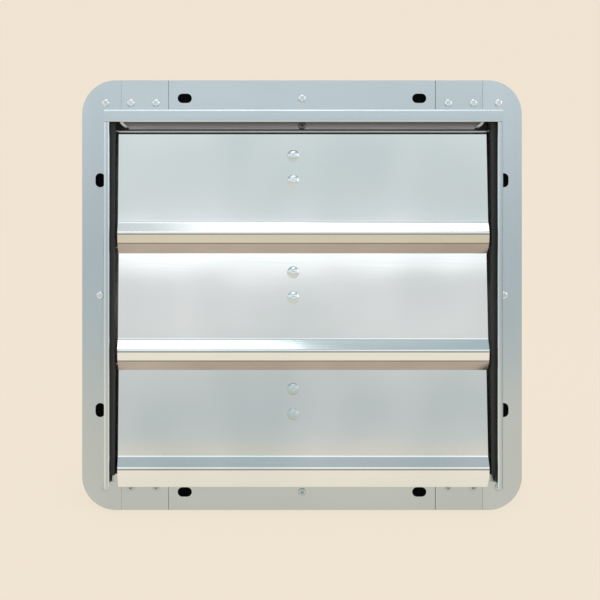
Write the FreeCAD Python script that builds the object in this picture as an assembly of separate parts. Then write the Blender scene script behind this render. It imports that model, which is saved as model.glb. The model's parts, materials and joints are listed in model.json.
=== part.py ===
"""Shutter exhaust fan: a gravity louvre shutter riveted to a sleeved axial fan.

Millimetres. +Z is up and -Y is the weather side with the louvres. The origin is
the centre of the flange's wall-side face; the sleeve, fan and motor lie behind it at +Y.
"""
import FreeCAD
import Part
import math
import os

V = FreeCAD.Vector
X_AXIS = V(1, 0, 0)
Y_AXIS = V(0, 1, 0)
Z_AXIS = V(0, 0, 1)
ORIGIN = V(0, 0, 0)

# Sheet and clearances
SHEET_T = 1.2
SEAM_GAP = 0.2
RUN_CLEAR = 0.05
SEAT_CLEAR = 0.1
OPEN_PIVOT_CLEAR = 0.3
SIDE_PLAY = 0.3

# Collar and flange
COLLAR_W = 333.0
COLLAR_D = 22.0
TOP_LIP_H = 10.5
SIDE_LIP_W = 4.5
RIM_SIDE = 21.0
RIM_TOP = 26.75
FLANGE_CORNER_R = 28.8
FLANGE_SEAM_OUTER = 33.5
FLANGE_SEAM_INNER = 73.9
SIDE_LIP_TAIL = 2.5

# Mounting slots, measured from the flange's edges
SLOT_L = 12.0
SLOT_W = 8.0
SLOT_EDGE = 15.4
SLOT_FROM_SIDE = 87.5
SLOT_FROM_TOP = 85.25

# Blind rivets of the flange
RIVET_R = 1.6
RIVET_HEAD_R = 3.4
RIVET_HEAD_H = 1.2
RIVET_PIT_R = 1.3
RIVET_PIT_D = 0.7
RIVET_CORNER_EDGE_X = 19.9
RIVET_CORNER_EDGE_Z = 19.4
RIVET_CORNER_PITCH = 21.5
RIVET_CORNER_COUNT = 3

# Louvre blades
LOUVER_NAMES = ("top", "middle", "bottom")
PIVOT_PITCH = 98.5
PIVOT_TOP_DROP = 17.1
PIVOT_SILL_DROP = 98.9
PIVOT_OUT = 8.5
BLADE_T = 1.0
HEM_R = 3.0
BLADE_LAP = 4.5
BLADE_EDGE_OUT = 2.2
BEND_ABOVE_HEM = 2.5
BEND_OUT = 9.4
RIDGE_ABOVE_HEM = 12.5
RIDGE_OUT = 11.0
PANEL_ABOVE_HEM = 21.5
PANEL_LEAN = 6.1
BLADE_END_GAP = 2.1

# Pivots
PIN_R = 2.0
PIN_IN_HEM = 12.0
PIN_END_GAP = 1.0
RAIL_T = 7.3
RAIL_D = 15.0
BUSH_H = 17.0
BUSH_D = 11.0
BUSH_PROUD = 0.4

# Stop rails
TOP_RAIL_DROP = 14.5
TOP_RAIL_LEDGE = 9.0
TOP_RAIL_CHAMFER = 6.0
TOP_RAIL_END_GAP = 4.6
TOP_RAIL_RIVET_UP = 2.7
SILL_H = 6.0
SILL_CORNER_R = 3.0
SILL_PAST_PIVOT = 1.0
SILL_END_GAP = 4.0
RING_TOP_CUT = 16.0
RING_BOTTOM_CUT = 6.0

# Tie bar linkage
LINK_X = -8.0
LINK_REACH = 32.0
BRACKET_T = 1.5
BRACKET_W = 16.0
BRACKET_FOOT_TOP = 13.0
BRACKET_FOOT_END = 50.0
BRACKET_EYE_R = 6.0
BLADE_RIVET_DROPS = (21.0, 42.0)
BLADE_RIVET_R = 2.4
BLADE_RIVET_HEAD_R = 5.0
BLADE_RIVET_HEAD_H = 1.6
BLADE_RIVET_TAIL_R = 3.6
BLADE_RIVET_TAIL_H = 1.4
LINK_PIN_R = 2.5
LINK_PIN_HEAD_R = 4.2
LINK_PIN_HEAD_H = 1.4
TIE_BAR_W = 8.0
TIE_BAR_T = 2.0
TIE_BAR_END = 6.0

# Sleeve and orifice
SLEEVE_INSET = 5.5
SLEEVE_D = 90.0
BELL_R = 6.0
ORIFICE_RIM = 3.0
THROAT_L = 26.0
TAB_H = 14.0

# Fan wheel
TIP_CLEAR = 5.0
FAN_BEHIND_FLANGE = 72.0
FAN_BLADES = 5
FAN_SHEET_T = 1.5
FAN_DISC_R = 36.0
FAN_ROOT_R = 30.0
FAN_ROOT_CHORD = 40.0
FAN_ROOT_PITCH_DEG = 38.0
FAN_TIP_CHORD = 92.0
FAN_TIP_PITCH_DEG = 22.0
FAN_CAMBER_RATIO = 0.07
SHAFT_R = 4.0
HUB_R = 14.0
HUB_L = 20.0
HUB_FLANGE_R = 25.0
HUB_FLANGE_T = 3.0
HUB_PILOT_R = 10.0
HUB_PILOT_PROUD = 1.5
HUB_RIVETS = 4
HUB_RIVET_PCD_R = 19.0
HUB_RIVET_R = 2.0
HUB_RIVET_HEAD_R = 3.4
HUB_RIVET_HEAD_H = 1.2
SET_SCREW_R = 2.5

# Motor and its carrier
STRAP_W = 25.0
STRAP_T = 3.0
STRAP_X = 85.0
STRAP_OFFSET = 10.0
STRAP_FOOT_L = 16.0
STRAP_RISER_RUN = 8.0
MOTOR_PLATE_T = 2.5
MOTOR_PLATE_H = 96.0
MOTOR_PLATE_HOLE_R = 16.0
STRAP_BOLT_Z = 36.0
MOTOR_R = 45.0
MOTOR_WALL = 3.0
BELL_DEPTH = 18.0
CAN_L = 40.0
EAR_R = 6.0
STUD_RADIUS = 50.0
STUD_R = 2.0
NUT_R = 4.0
NUT_H = 3.5
STATOR_L = 28.0
AIR_GAP = 0.4
ROTOR_R = 24.0
WINDING_H = 6.0
WINDING_IN = 4.0
WINDING_T = 9.0
BEARING_R = 11.0
BEARING_L = 7.0
BEARING_BOSS_WALL = 4.0
VENT_COUNT = 6
VENT_W = 6.0
VENT_L = 16.0
VENT_RADIUS = 29.0

# Screws and bolts
SCREW_R = 2.0
SCREW_HEAD_R = 3.9
SCREW_HEAD_H = 2.6
SCREW_TAIL = 3.0
BOLT_R = 2.5
BOLT_HEAD_R = 4.4
BOLT_HEAD_H = 3.5

# Rear guard
GUARD_WIRE_R = 1.5
GUARD_STANDOFF = 30.0
GUARD_RINGS = 7
GUARD_INNER_R = 60.0
GUARD_WELD_TURN_DEG = 33.0
GUARD_SPOKE_R = 2.2
GUARD_SPOKE_PAST = 3.0
GUARD_LEG_FROM_SCREW = 14.8
GUARD_LEG_Z = 80.0
GUARD_LEG_R = 3.2
GUARD_TAB_W = 12.0
GUARD_TAB_T = 2.0
GUARD_SCREW_IN = 5.0

# Electrical fittings on the orifice plate
BOX_W = 42.0
BOX_H = 40.0
BOX_D = 40.0
BOX_WALL = 2.0
BOX_EDGE = 5.0
COVER_T = 2.0
COVER_SCREW_IN = 5.0
COVER_SCREW_R = 1.5
COVER_SCREW_HEAD_R = 2.8
COVER_SCREW_HEAD_H = 1.8
COVER_SCREW_L = 8.0
GLAND_R = 8.0
GLAND_FLANGE_R = 11.0
GLAND_FLANGE_T = 5.0
GLAND_DOME_R = 9.5
GLAND_DOME_L = 12.0
GLAND_BORE_R = 4.0
CAPACITOR_R = 16.0
CAPACITOR_L = 55.0
CAPACITOR_EDGE = 25.0
CLIP_T = 1.5
CLIP_H = 14.0
CLIP_FOOT_W = 12.0
LEAD_R = 3.0
LEAD_BEND_R = 40.0
LEAD_BEHIND_MOTOR_PLATE = 6.5

# Worked-out places, all from the sizes above
COLLAR_H = PIVOT_TOP_DROP + PIVOT_PITCH * (len(LOUVER_NAMES) - 1) + PIVOT_SILL_DROP
HALF_W = COLLAR_W / 2
HALF_H = COLLAR_H / 2
FLANGE_W = COLLAR_W + 2 * RIM_SIDE
FLANGE_H = COLLAR_H + 2 * RIM_TOP
FRONT_FLANGE_Y = -SHEET_T
WALL_IN_X = HALF_W - SHEET_T
RAIL_IN_X = WALL_IN_X - RAIL_T
BLADE_HALF_W = RAIL_IN_X - BUSH_PROUD - BLADE_END_GAP
PIVOT_Z = [HALF_H - PIVOT_TOP_DROP - PIVOT_PITCH * i for i in range(len(LOUVER_NAMES))]
RING_TOP = HALF_H - RING_TOP_CUT
RING_BOTTOM = -HALF_H + RING_BOTTOM_CUT
SILL_Y = -(PIVOT_OUT + SILL_PAST_PIVOT)
SLEEVE_HALF_W = HALF_W - SLEEVE_INSET
SLEEVE_HALF_H = HALF_H - SLEEVE_INSET
PLATE_BACK = SLEEVE_D + SHEET_T
BELL_OUT_R = min(SLEEVE_HALF_W, SLEEVE_HALF_H) - ORIFICE_RIM
THROAT_R = BELL_OUT_R - BELL_R
FAN_R = THROAT_R - TIP_CLEAR
STRAP_RUN_Y = PLATE_BACK + STRAP_OFFSET
MOTOR_PLATE_Y = STRAP_RUN_Y + STRAP_T
MOTOR_Y = MOTOR_PLATE_Y + MOTOR_PLATE_T
CAN_Y = MOTOR_Y + BELL_DEPTH
REAR_BELL_Y = CAN_Y + CAN_L
MOTOR_END_Y = REAR_BELL_Y + BELL_DEPTH
STATOR_Y = CAN_Y + (CAN_L - STATOR_L) / 2
GUARD_Y = PLATE_BACK + GUARD_STANDOFF
GUARD_SCREW_X = SLEEVE_HALF_W - SHEET_T - GUARD_SCREW_IN
GUARD_LEG_X = GUARD_SCREW_X - GUARD_LEG_FROM_SCREW
FOOT_SCREW_Z = SLEEVE_HALF_H - STRAP_FOOT_L / 2
BRACKET_X = LINK_X - BRACKET_W / 2
TIE_BAR_X = BRACKET_X + BRACKET_T + SIDE_PLAY
LINK_Y = LINK_REACH - PIVOT_OUT
LEAD_Y = MOTOR_Y + LEAD_BEHIND_MOTOR_PLATE
BOX_RIGHT = SLEEVE_HALF_W - BOX_EDGE
BOX_LOW = -SLEEVE_HALF_H + BOX_EDGE
BOX_X = BOX_RIGHT - BOX_W / 2
BOX_Z = BOX_LOW + BOX_H / 2
BOX_BACK = PLATE_BACK + BOX_D


def save(name, shape):
    """Write one named piece."""
    shape.exportStep(os.path.join("parts", name + ".step"))


def box(x0, x1, y0, y1, z0, z1):
    """Block between two corners."""
    return Part.makeBox(x1 - x0, y1 - y0, z1 - z0, V(x0, y0, z0))


def rod_x(radius, x0, x1, y, z):
    """Round bar along X."""
    return Part.makeCylinder(radius, x1 - x0, V(x0, y, z), X_AXIS)


def rod_y(radius, y0, y1, x, z):
    """Round bar along Y."""
    return Part.makeCylinder(radius, y1 - y0, V(x, y0, z), Y_AXIS)


def prism_x(points, x0, x1):
    """Solid with an outline of (y, z) points, drawn along X."""
    corners = [V(x0, y, z) for y, z in points]
    face = Part.Face(Part.makePolygon(corners + corners[:1]))
    return face.extrude(V(x1 - x0, 0, 0))


def prism_y(points, y0, y1):
    """Solid with an outline of (x, z) points, drawn along Y."""
    corners = [V(x, y0, z) for x, z in points]
    face = Part.Face(Part.makePolygon(corners + corners[:1]))
    return face.extrude(V(0, y1 - y0, 0))


def hex_y(radius, y0, y1, x, z):
    """Hexagon bar along Y, by its corner radius."""
    turns = [math.radians(60 * i) for i in range(6)]
    return prism_y([(x + radius * math.cos(a), z + radius * math.sin(a)) for a in turns], y0, y1)


def strip(points, thickness):
    """Closed outline of a bent sheet: the middle line offset to both sides with mitred bends."""
    half = thickness / 2
    normals = []
    for (a0, b0), (a1, b1) in zip(points, points[1:]):
        length = math.hypot(a1 - a0, b1 - b0)
        normals.append(((b0 - b1) / length, (a1 - a0) / length))
    left, right = [], []
    for i, (a, b) in enumerate(points):
        n0 = normals[max(i - 1, 0)]
        n1 = normals[min(i, len(normals) - 1)]
        scale = half / (1 + n0[0] * n1[0] + n0[1] * n1[1])
        da = (n0[0] + n1[0]) * scale
        db = (n0[1] + n1[1]) * scale
        left.append((a + da, b + db))
        right.append((a - da, b - db))
    return left + right[::-1]


def rounded_plate(width, height, radius, y0, y1):
    """Upright plate with rounded corners, centred on the axis."""
    plate = box(-width / 2, width / 2, y0, y1, -height / 2, height / 2)
    upright = [e for e in plate.Edges if abs(e.tangentAt(e.FirstParameter).y) > 0.9]
    return plate.makeFillet(radius, upright)


def slot_y(x, z, along_x, y0, y1):
    """Round-ended mounting slot, as a cutting body."""
    half = (SLOT_L - SLOT_W) / 2
    dx, dz = (half, 0) if along_x else (0, half)
    ends = [rod_y(SLOT_W / 2, y0, y1, x + s * dx, z + s * dz) for s in (-1, 1)]
    side = SLOT_W / 2
    wx, wz = (half, side) if along_x else (side, half)
    return ends[0].fuse([ends[1], box(x - wx, x + wx, y0, y1, z - wz, z + wz)])


def slot_places():
    """Centre and direction of every mounting slot."""
    places = []
    for side in (-1, 1):
        for end in (-1, 1):
            places.append((side * (FLANGE_W / 2 - SLOT_FROM_SIDE), end * (FLANGE_H / 2 - SLOT_EDGE), True))
            places.append((side * (FLANGE_W / 2 - SLOT_EDGE), end * (FLANGE_H / 2 - SLOT_FROM_TOP), False))
    return places


def rivet_places():
    """Centre of every flange rivet: a row at each corner and one in the middle of each edge."""
    places = [(0, FLANGE_H / 2 - SLOT_EDGE), (0, SLOT_EDGE - FLANGE_H / 2)]
    places += [(FLANGE_W / 2 - SLOT_EDGE, 0), (SLOT_EDGE - FLANGE_W / 2, 0)]
    for side in (-1, 1):
        for end in (-1, 1):
            for i in range(RIVET_CORNER_COUNT):
                inset = RIVET_CORNER_EDGE_X + RIVET_CORNER_PITCH * i
                places.append((side * (FLANGE_W / 2 - inset), end * (FLANGE_H / 2 - RIVET_CORNER_EDGE_Z)))
    return places


def dome_y(radius, height, x, y, z):
    """Button head standing on a face at y and bulging towards -Y."""
    sphere_r = (radius ** 2 + height ** 2) / (2 * height)
    ball = Part.makeSphere(sphere_r, V(x, y - height + sphere_r, z))
    return ball.common(rod_y(radius, y - height, y, x, z))


def flange_cuts(y0, y1):
    """Slots and rivet holes through one layer of the flange."""
    cuts = [slot_y(x, z, along, y0, y1) for x, z, along in slot_places()]
    return cuts + [rod_y(RIVET_R + RUN_CLEAR, y0, y1, x, z) for x, z in rivet_places()]


def build_flange():
    """Housing flange ring and the four front channels with their corner plates."""
    outer = rounded_plate(FLANGE_W, FLANGE_H, FLANGE_CORNER_R, FRONT_FLANGE_Y, 0)
    opening = box(-RAIL_IN_X, RAIL_IN_X, FRONT_FLANGE_Y, 0, RING_BOTTOM, RING_TOP)
    rail_rivet = rod_y(RIVET_R + RUN_CLEAR, FRONT_FLANGE_Y, 0, 0, rail_rivet_z())
    save("housing_flange", outer.cut([opening, rail_rivet] + flange_cuts(FRONT_FLANGE_Y, 0)))

    y0, y1 = FRONT_FLANGE_Y - SHEET_T, FRONT_FLANGE_Y
    layer = rounded_plate(FLANGE_W, FLANGE_H, FLANGE_CORNER_R, y0, y1).cut(flange_cuts(y0, y1))
    gap = SEAM_GAP / 2
    far_x, far_z = FLANGE_W, FLANGE_H
    seam_out = FLANGE_W / 2 - FLANGE_SEAM_OUTER
    seam_in = FLANGE_W / 2 - FLANGE_SEAM_INNER
    wall_top = HALF_H - SHEET_T

    top = layer.common(box(gap - seam_in, seam_in - gap, y0, y1, wall_top, far_z))
    top_wall = box(-HALF_W, HALF_W, -COLLAR_D, y1, wall_top, HALF_H)
    top_lip = box(-HALF_W, HALF_W, -COLLAR_D, SHEET_T - COLLAR_D, HALF_H - TOP_LIP_H, HALF_H)
    save("top_channel", top.fuse([top_wall, top_lip]).removeSplitter())

    low = layer.common(box(gap - seam_in, seam_in - gap, y0, y1, -far_z, -HALF_H))
    low_wall = box(gap - WALL_IN_X, WALL_IN_X - gap, SILL_Y, y1, -HALF_H - SHEET_T, -HALF_H)
    save("bottom_channel", low.fuse(low_wall).removeSplitter())

    low_edge = -HALF_H - SHEET_T
    for name, side in (("left", -1), ("right", 1)):
        rim = [box(WALL_IN_X, far_x, y0, y1, low_edge - gap, wall_top - gap)]
        rim.append(box(seam_out + gap, far_x, y0, y1, HALF_H + gap, far_z))
        rim.append(box(HALF_W + gap, far_x, y0, y1, wall_top - gap, HALF_H + gap))
        rim.append(box(seam_out + gap, far_x, y0, y1, -far_z, low_edge - gap))
        wall = box(WALL_IN_X, HALF_W, -COLLAR_D, y1, low_edge - SIDE_LIP_TAIL, wall_top - gap)
        lip_top = HALF_H - TOP_LIP_H - gap
        lip_x = HALF_W - SIDE_LIP_W
        lip = box(lip_x, HALF_W, -COLLAR_D, SHEET_T - COLLAR_D, low_edge - SIDE_LIP_TAIL, lip_top)
        wall = wall.cut(box(WALL_IN_X, HALF_W, -COLLAR_D, SHEET_T - COLLAR_D + gap, lip_top, wall_top))
        region = rim[0].fuse(rim[1:])
        if side < 0:
            region = region.mirror(ORIGIN, X_AXIS)
            wall = wall.mirror(ORIGIN, X_AXIS)
            lip = lip.mirror(ORIGIN, X_AXIS)
        save(name + "_channel", layer.common(region).fuse([wall, lip]).removeSplitter())

    plates = []
    for side in (-1, 1):
        span = sorted((side * (seam_in + gap), side * (seam_out - gap)))
        plates.append(layer.common(box(span[0], span[1], y0, y1, HALF_H + gap, far_z)))
        plates.append(layer.common(box(span[0], span[1], y0, y1, -far_z, low_edge - gap)))
    save("corner_plates", Part.makeCompound(plates))


def rail_rivet_z():
    """Height of the rivet in the middle of the top stop rail."""
    return HALF_H - TOP_RAIL_DROP + TOP_RAIL_RIVET_UP


def blind_rivet(x, z, y_face, y_end):
    """Button head on y_face with the broken mandrel's pit, and a shank set flush at y_end."""
    pit_y = y_face - RIVET_HEAD_H
    head = dome_y(RIVET_HEAD_R, RIVET_HEAD_H, x, y_face, z)
    head = head.cut(rod_y(RIVET_PIT_R, pit_y, pit_y + RIVET_PIT_D, x, z))
    return head.fuse(rod_y(RIVET_R, y_face, y_end, x, z))


def build_rivets():
    """Flange rivets through both sheets, and the one rivet of the top stop rail."""
    face = FRONT_FLANGE_Y - SHEET_T
    save("flange_rivets", Part.makeCompound([blind_rivet(x, z, face, 0) for x, z in rivet_places()]))
    save("rail_rivet", blind_rivet(0, rail_rivet_z(), face, 0))


def build_stop_rails():
    """Angle under the collar's top and the sill that the lowest blade closes against."""
    top = HALF_H - SHEET_T
    low = HALF_H - TOP_RAIL_DROP
    end = RAIL_IN_X - TOP_RAIL_END_GAP
    cut = TOP_RAIL_CHAMFER
    right_side = [(end, top), (end, low + cut), (end - cut, low)]
    outline = right_side + [(-x, z) for x, z in right_side[::-1]]
    front = FRONT_FLANGE_Y - SHEET_T
    leg = prism_y(outline, front, FRONT_FLANGE_Y)
    ledge = box(-end, end, front - TOP_RAIL_LEDGE, front, top - SHEET_T, top)
    hole = rod_y(RIVET_R + RUN_CLEAR, front, FRONT_FLANGE_Y, 0, rail_rivet_z())
    save("top_stop_rail", leg.fuse(ledge).removeSplitter().cut(hole))

    half = WALL_IN_X - SILL_END_GAP
    blade = box(-half, half, SILL_Y, SILL_Y + SHEET_T, -HALF_H, SILL_H - HALF_H)
    tips = [e for e in blade.Edges
            if abs(e.tangentAt(e.FirstParameter).y) > 0.9 and e.CenterOfMass.z > SILL_H / 2 - HALF_H]
    blade = blade.makeFillet(SILL_CORNER_R, tips)
    foot = box(-half, half, SILL_Y, FRONT_FLANGE_Y, -HALF_H, SHEET_T - HALF_H)
    save("bottom_stop_rail", blade.fuse(foot).removeSplitter())


def build_pivot_rails():
    """Plastic rails on the collar's sides, with a bush block for each pivot."""
    low = SILL_H - HALF_H + SIDE_PLAY
    top = HALF_H - SHEET_T - SIDE_PLAY
    front = FRONT_FLANGE_Y - RAIL_D
    bushes = []
    for name, side in (("left", -1), ("right", 1)):
        near, far = sorted((side * RAIL_IN_X, side * WALL_IN_X))
        rail = box(near, far, front, FRONT_FLANGE_Y, low, top)
        b_near, b_far = sorted((side * (RAIL_IN_X - BUSH_PROUD), side * WALL_IN_X))
        for z in PIVOT_Z:
            y0, y1 = -PIVOT_OUT - BUSH_D / 2, -PIVOT_OUT + BUSH_D / 2
            z0, z1 = z - BUSH_H / 2, z + BUSH_H / 2
            gap = SEAT_CLEAR
            rail = rail.cut(box(near, far, y0 - gap, y1 + gap, z0 - gap, z1 + gap))
            block = box(b_near, b_far, y0, y1, z0, z1)
            bushes.append(block.cut(rod_x(PIN_R + RUN_CLEAR, b_near, b_far, -PIVOT_OUT, z)))
        save(name + "_pivot_rail", rail)
    save("pivot_bushes", Part.makeCompound(bushes))


def blade_line(z):
    """Middle line of a closed blade below a pivot at height z, as (y, z) points."""
    drops = [(0, 0), (PANEL_LEAN, PIVOT_PITCH - PANEL_ABOVE_HEM), (RIDGE_OUT, PIVOT_PITCH - RIDGE_ABOVE_HEM)]
    drops += [(BEND_OUT, PIVOT_PITCH - BEND_ABOVE_HEM), (BLADE_EDGE_OUT, PIVOT_PITCH + BLADE_LAP)]
    return [(-PIVOT_OUT - out, z - drop) for out, drop in drops]


def lean_angle():
    """Outward lean of the blade's flat panel, in degrees."""
    return math.degrees(math.atan2(PANEL_LEAN, PIVOT_PITCH - PANEL_ABOVE_HEM))


def on_panel(shape, z):
    """Swing a shape drawn on an upright panel to the leaning panel of the blade at height z."""
    leaned = shape.copy()
    leaned.rotate(V(0, -PIVOT_OUT, z), X_AXIS, -lean_angle())
    return leaned


def build_louver(name, z):
    """One blade with its pivot pins, link bracket, rivets and link pin."""
    hem = rod_x(HEM_R, -BLADE_HALF_W, BLADE_HALF_W, -PIVOT_OUT, z)
    sheet = prism_x(strip(blade_line(z), BLADE_T), -BLADE_HALF_W, BLADE_HALF_W)
    bore = rod_x(PIN_R + RUN_CLEAR, -BLADE_HALF_W, BLADE_HALF_W, -PIVOT_OUT, z)
    front = -PIVOT_OUT - BLADE_T / 2
    back = -PIVOT_OUT + BLADE_T / 2
    foot_back = back + BRACKET_T
    holes = []
    rivets = []
    for drop in BLADE_RIVET_DROPS:
        holes.append(on_panel(rod_y(BLADE_RIVET_R + RUN_CLEAR, front, foot_back, LINK_X, z - drop), z))
        head = dome_y(BLADE_RIVET_HEAD_R, BLADE_RIVET_HEAD_H, LINK_X, front, z - drop)
        shank = rod_y(BLADE_RIVET_R, front, foot_back, LINK_X, z - drop)
        tail = rod_y(BLADE_RIVET_TAIL_R, foot_back, foot_back + BLADE_RIVET_TAIL_H, LINK_X, z - drop)
        rivets.append(on_panel(head.fuse([shank, tail]), z))
    save(name + "_louver", hem.fuse(sheet).removeSplitter().cut([bore] + holes))
    save(name + "_blade_rivets", Part.makeCompound(rivets))

    pin_end = WALL_IN_X - PIN_END_GAP
    pins = [rod_x(PIN_R, BLADE_HALF_W - PIN_IN_HEM, pin_end, -PIVOT_OUT, z)]
    pins.append(rod_x(PIN_R, -pin_end, PIN_IN_HEM - BLADE_HALF_W, -PIVOT_OUT, z))
    save(name + "_pivot_pins", Part.makeCompound(pins))

    foot = box(BRACKET_X, BRACKET_X + BRACKET_W, back, foot_back, z - BRACKET_FOOT_END, z - BRACKET_FOOT_TOP)
    lean = math.tan(math.radians(lean_angle()))
    foot_top = (foot_back - BRACKET_FOOT_TOP * lean, z - BRACKET_FOOT_TOP)
    foot_end = (foot_back - BRACKET_FOOT_END * lean, z - BRACKET_FOOT_END)
    web = [foot_top, (LINK_Y, z + BRACKET_EYE_R), (LINK_Y, z - BRACKET_EYE_R), foot_end]
    arm = prism_x(web, BRACKET_X, BRACKET_X + BRACKET_T)
    eye = rod_x(BRACKET_EYE_R, BRACKET_X, BRACKET_X + BRACKET_T, LINK_Y, z)
    pin_hole = rod_x(LINK_PIN_R + RUN_CLEAR, BRACKET_X, BRACKET_X + BRACKET_T, LINK_Y, z)
    bracket = on_panel(foot, z).fuse([arm, eye]).removeSplitter().cut([pin_hole] + holes)
    save(name + "_link_bracket", bracket)

    pin_far = TIE_BAR_X + TIE_BAR_T + SIDE_PLAY
    heads = [rod_x(LINK_PIN_HEAD_R, BRACKET_X - LINK_PIN_HEAD_H, BRACKET_X, LINK_Y, z)]
    heads.append(rod_x(LINK_PIN_HEAD_R, pin_far, pin_far + LINK_PIN_HEAD_H, LINK_Y, z))
    save(name + "_link_pin", rod_x(LINK_PIN_R, BRACKET_X, pin_far, LINK_Y, z).fuse(heads))


def build_tie_bar():
    """Flat bar that joins the three link pins; the lower two holes are the opened pivots."""
    half = TIE_BAR_W / 2
    bar = box(TIE_BAR_X, TIE_BAR_X + TIE_BAR_T, LINK_Y - half, LINK_Y + half,
              PIVOT_Z[-1] - TIE_BAR_END, PIVOT_Z[0] + TIE_BAR_END)
    for i, z in enumerate(PIVOT_Z):
        clear = OPEN_PIVOT_CLEAR if i else RUN_CLEAR
        bar = bar.cut(rod_x(LINK_PIN_R + clear, TIE_BAR_X, TIE_BAR_X + TIE_BAR_T, LINK_Y, z))
    save("tie_bar", bar)


def panel_screw_places():
    """Screws that hold the straps, guard and orifice plate on the sleeve, with their grip height."""
    places = []
    for side in (-1, 1):
        for end in (-1, 1):
            places.append((side * STRAP_X, end * FOOT_SCREW_Z, STRAP_T))
            places.append((side * GUARD_SCREW_X, end * GUARD_LEG_Z, GUARD_TAB_T))
    return places


def build_sleeve():
    """Four sleeve panels with screw tabs, and the orifice plate with its bell mouth and throat."""
    in_w, in_h = SLEEVE_HALF_W - SHEET_T, SLEEVE_HALF_H - SHEET_T
    tab_y0, tab_y1 = SLEEVE_D - SHEET_T, SLEEVE_D
    holes = [rod_y(SCREW_R + RUN_CLEAR, 0, PLATE_BACK, x, z) for x, z, _ in panel_screw_places()]
    for name, end in (("sleeve_top", 1), ("sleeve_bottom", -1)):
        z0, z1 = sorted((end * in_h, end * SLEEVE_HALF_H))
        panel = box(-SLEEVE_HALF_W, SLEEVE_HALF_W, 0, SLEEVE_D, z0, z1)
        t0, t1 = sorted((end * (in_h - TAB_H), end * in_h))
        half = STRAP_W / 2
        tabs = [box(x - half, x + half, tab_y0, tab_y1, t0, t1) for x in (-STRAP_X, STRAP_X)]
        save(name, panel.fuse(tabs).removeSplitter().cut(holes))
    for name, side in (("sleeve_left", -1), ("sleeve_right", 1)):
        x0, x1 = sorted((side * in_w, side * SLEEVE_HALF_W))
        panel = box(x0, x1, 0, SLEEVE_D, SEAT_CLEAR - in_h, in_h - SEAT_CLEAR)
        t0, t1 = sorted((side * (in_w - 2 * GUARD_SCREW_IN), side * in_w))
        half = TAB_H / 2
        tabs = [box(t0, t1, tab_y0, tab_y1, z - half, z + half) for z in (-GUARD_LEG_Z, GUARD_LEG_Z)]
        save(name, panel.fuse(tabs).removeSplitter().cut(holes))

    plate = box(-SLEEVE_HALF_W, SLEEVE_HALF_W, SLEEVE_D, PLATE_BACK, -SLEEVE_HALF_H, SLEEVE_HALF_H)
    plate = plate.cut(rod_y(BELL_OUT_R, SLEEVE_D, PLATE_BACK, 0, 0))
    arc_y = PLATE_BACK - BELL_R
    small = BELL_R - SHEET_T
    diagonal = math.sqrt(0.5)
    throat_y = SLEEVE_D - THROAT_L

    def at(radius, y):
        return V(radius, y, 0)

    edges = [
        Part.Arc(at(BELL_OUT_R, PLATE_BACK), at(BELL_OUT_R - BELL_R * diagonal, arc_y + BELL_R * diagonal),
                 at(THROAT_R, arc_y)).toShape(),
        Part.makeLine(at(THROAT_R, arc_y), at(THROAT_R, throat_y)),
        Part.makeLine(at(THROAT_R, throat_y), at(THROAT_R + SHEET_T, throat_y)),
        Part.makeLine(at(THROAT_R + SHEET_T, throat_y), at(THROAT_R + SHEET_T, arc_y)),
        Part.Arc(at(THROAT_R + SHEET_T, arc_y), at(BELL_OUT_R - small * diagonal, arc_y + small * diagonal),
                 at(BELL_OUT_R, SLEEVE_D)).toShape(),
        Part.makeLine(at(BELL_OUT_R, SLEEVE_D), at(BELL_OUT_R, PLATE_BACK)),
    ]
    bell = Part.Face(Part.Wire(edges)).revolve(ORIGIN, Y_AXIS, 360)
    save("orifice_plate", plate.fuse(bell).removeSplitter().cut(holes))


def fan_section(radius, chord, pitch):
    """Cambered section of a fan blade in the plane at one radius, as a closed wire."""
    turn = math.radians(pitch)
    along = V(math.cos(turn), math.sin(turn), 0)
    across = V(-math.sin(turn), math.cos(turn), 0)
    centre = V(0, FAN_BEHIND_FLANGE, radius)
    lift = across * (chord * FAN_CAMBER_RATIO)
    half = across * (FAN_SHEET_T / 2)
    nose, tail = centre - along * (chord / 2), centre + along * (chord / 2)
    upper = Part.Arc(nose + half, centre + lift + half, tail + half).toShape()
    lower = Part.Arc(tail - half, centre + lift - half, nose - half).toShape()
    ends = [Part.makeLine(tail + half, tail - half), Part.makeLine(nose - half, nose + half)]
    return Part.Wire([upper, ends[0], lower, ends[1]])


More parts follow.
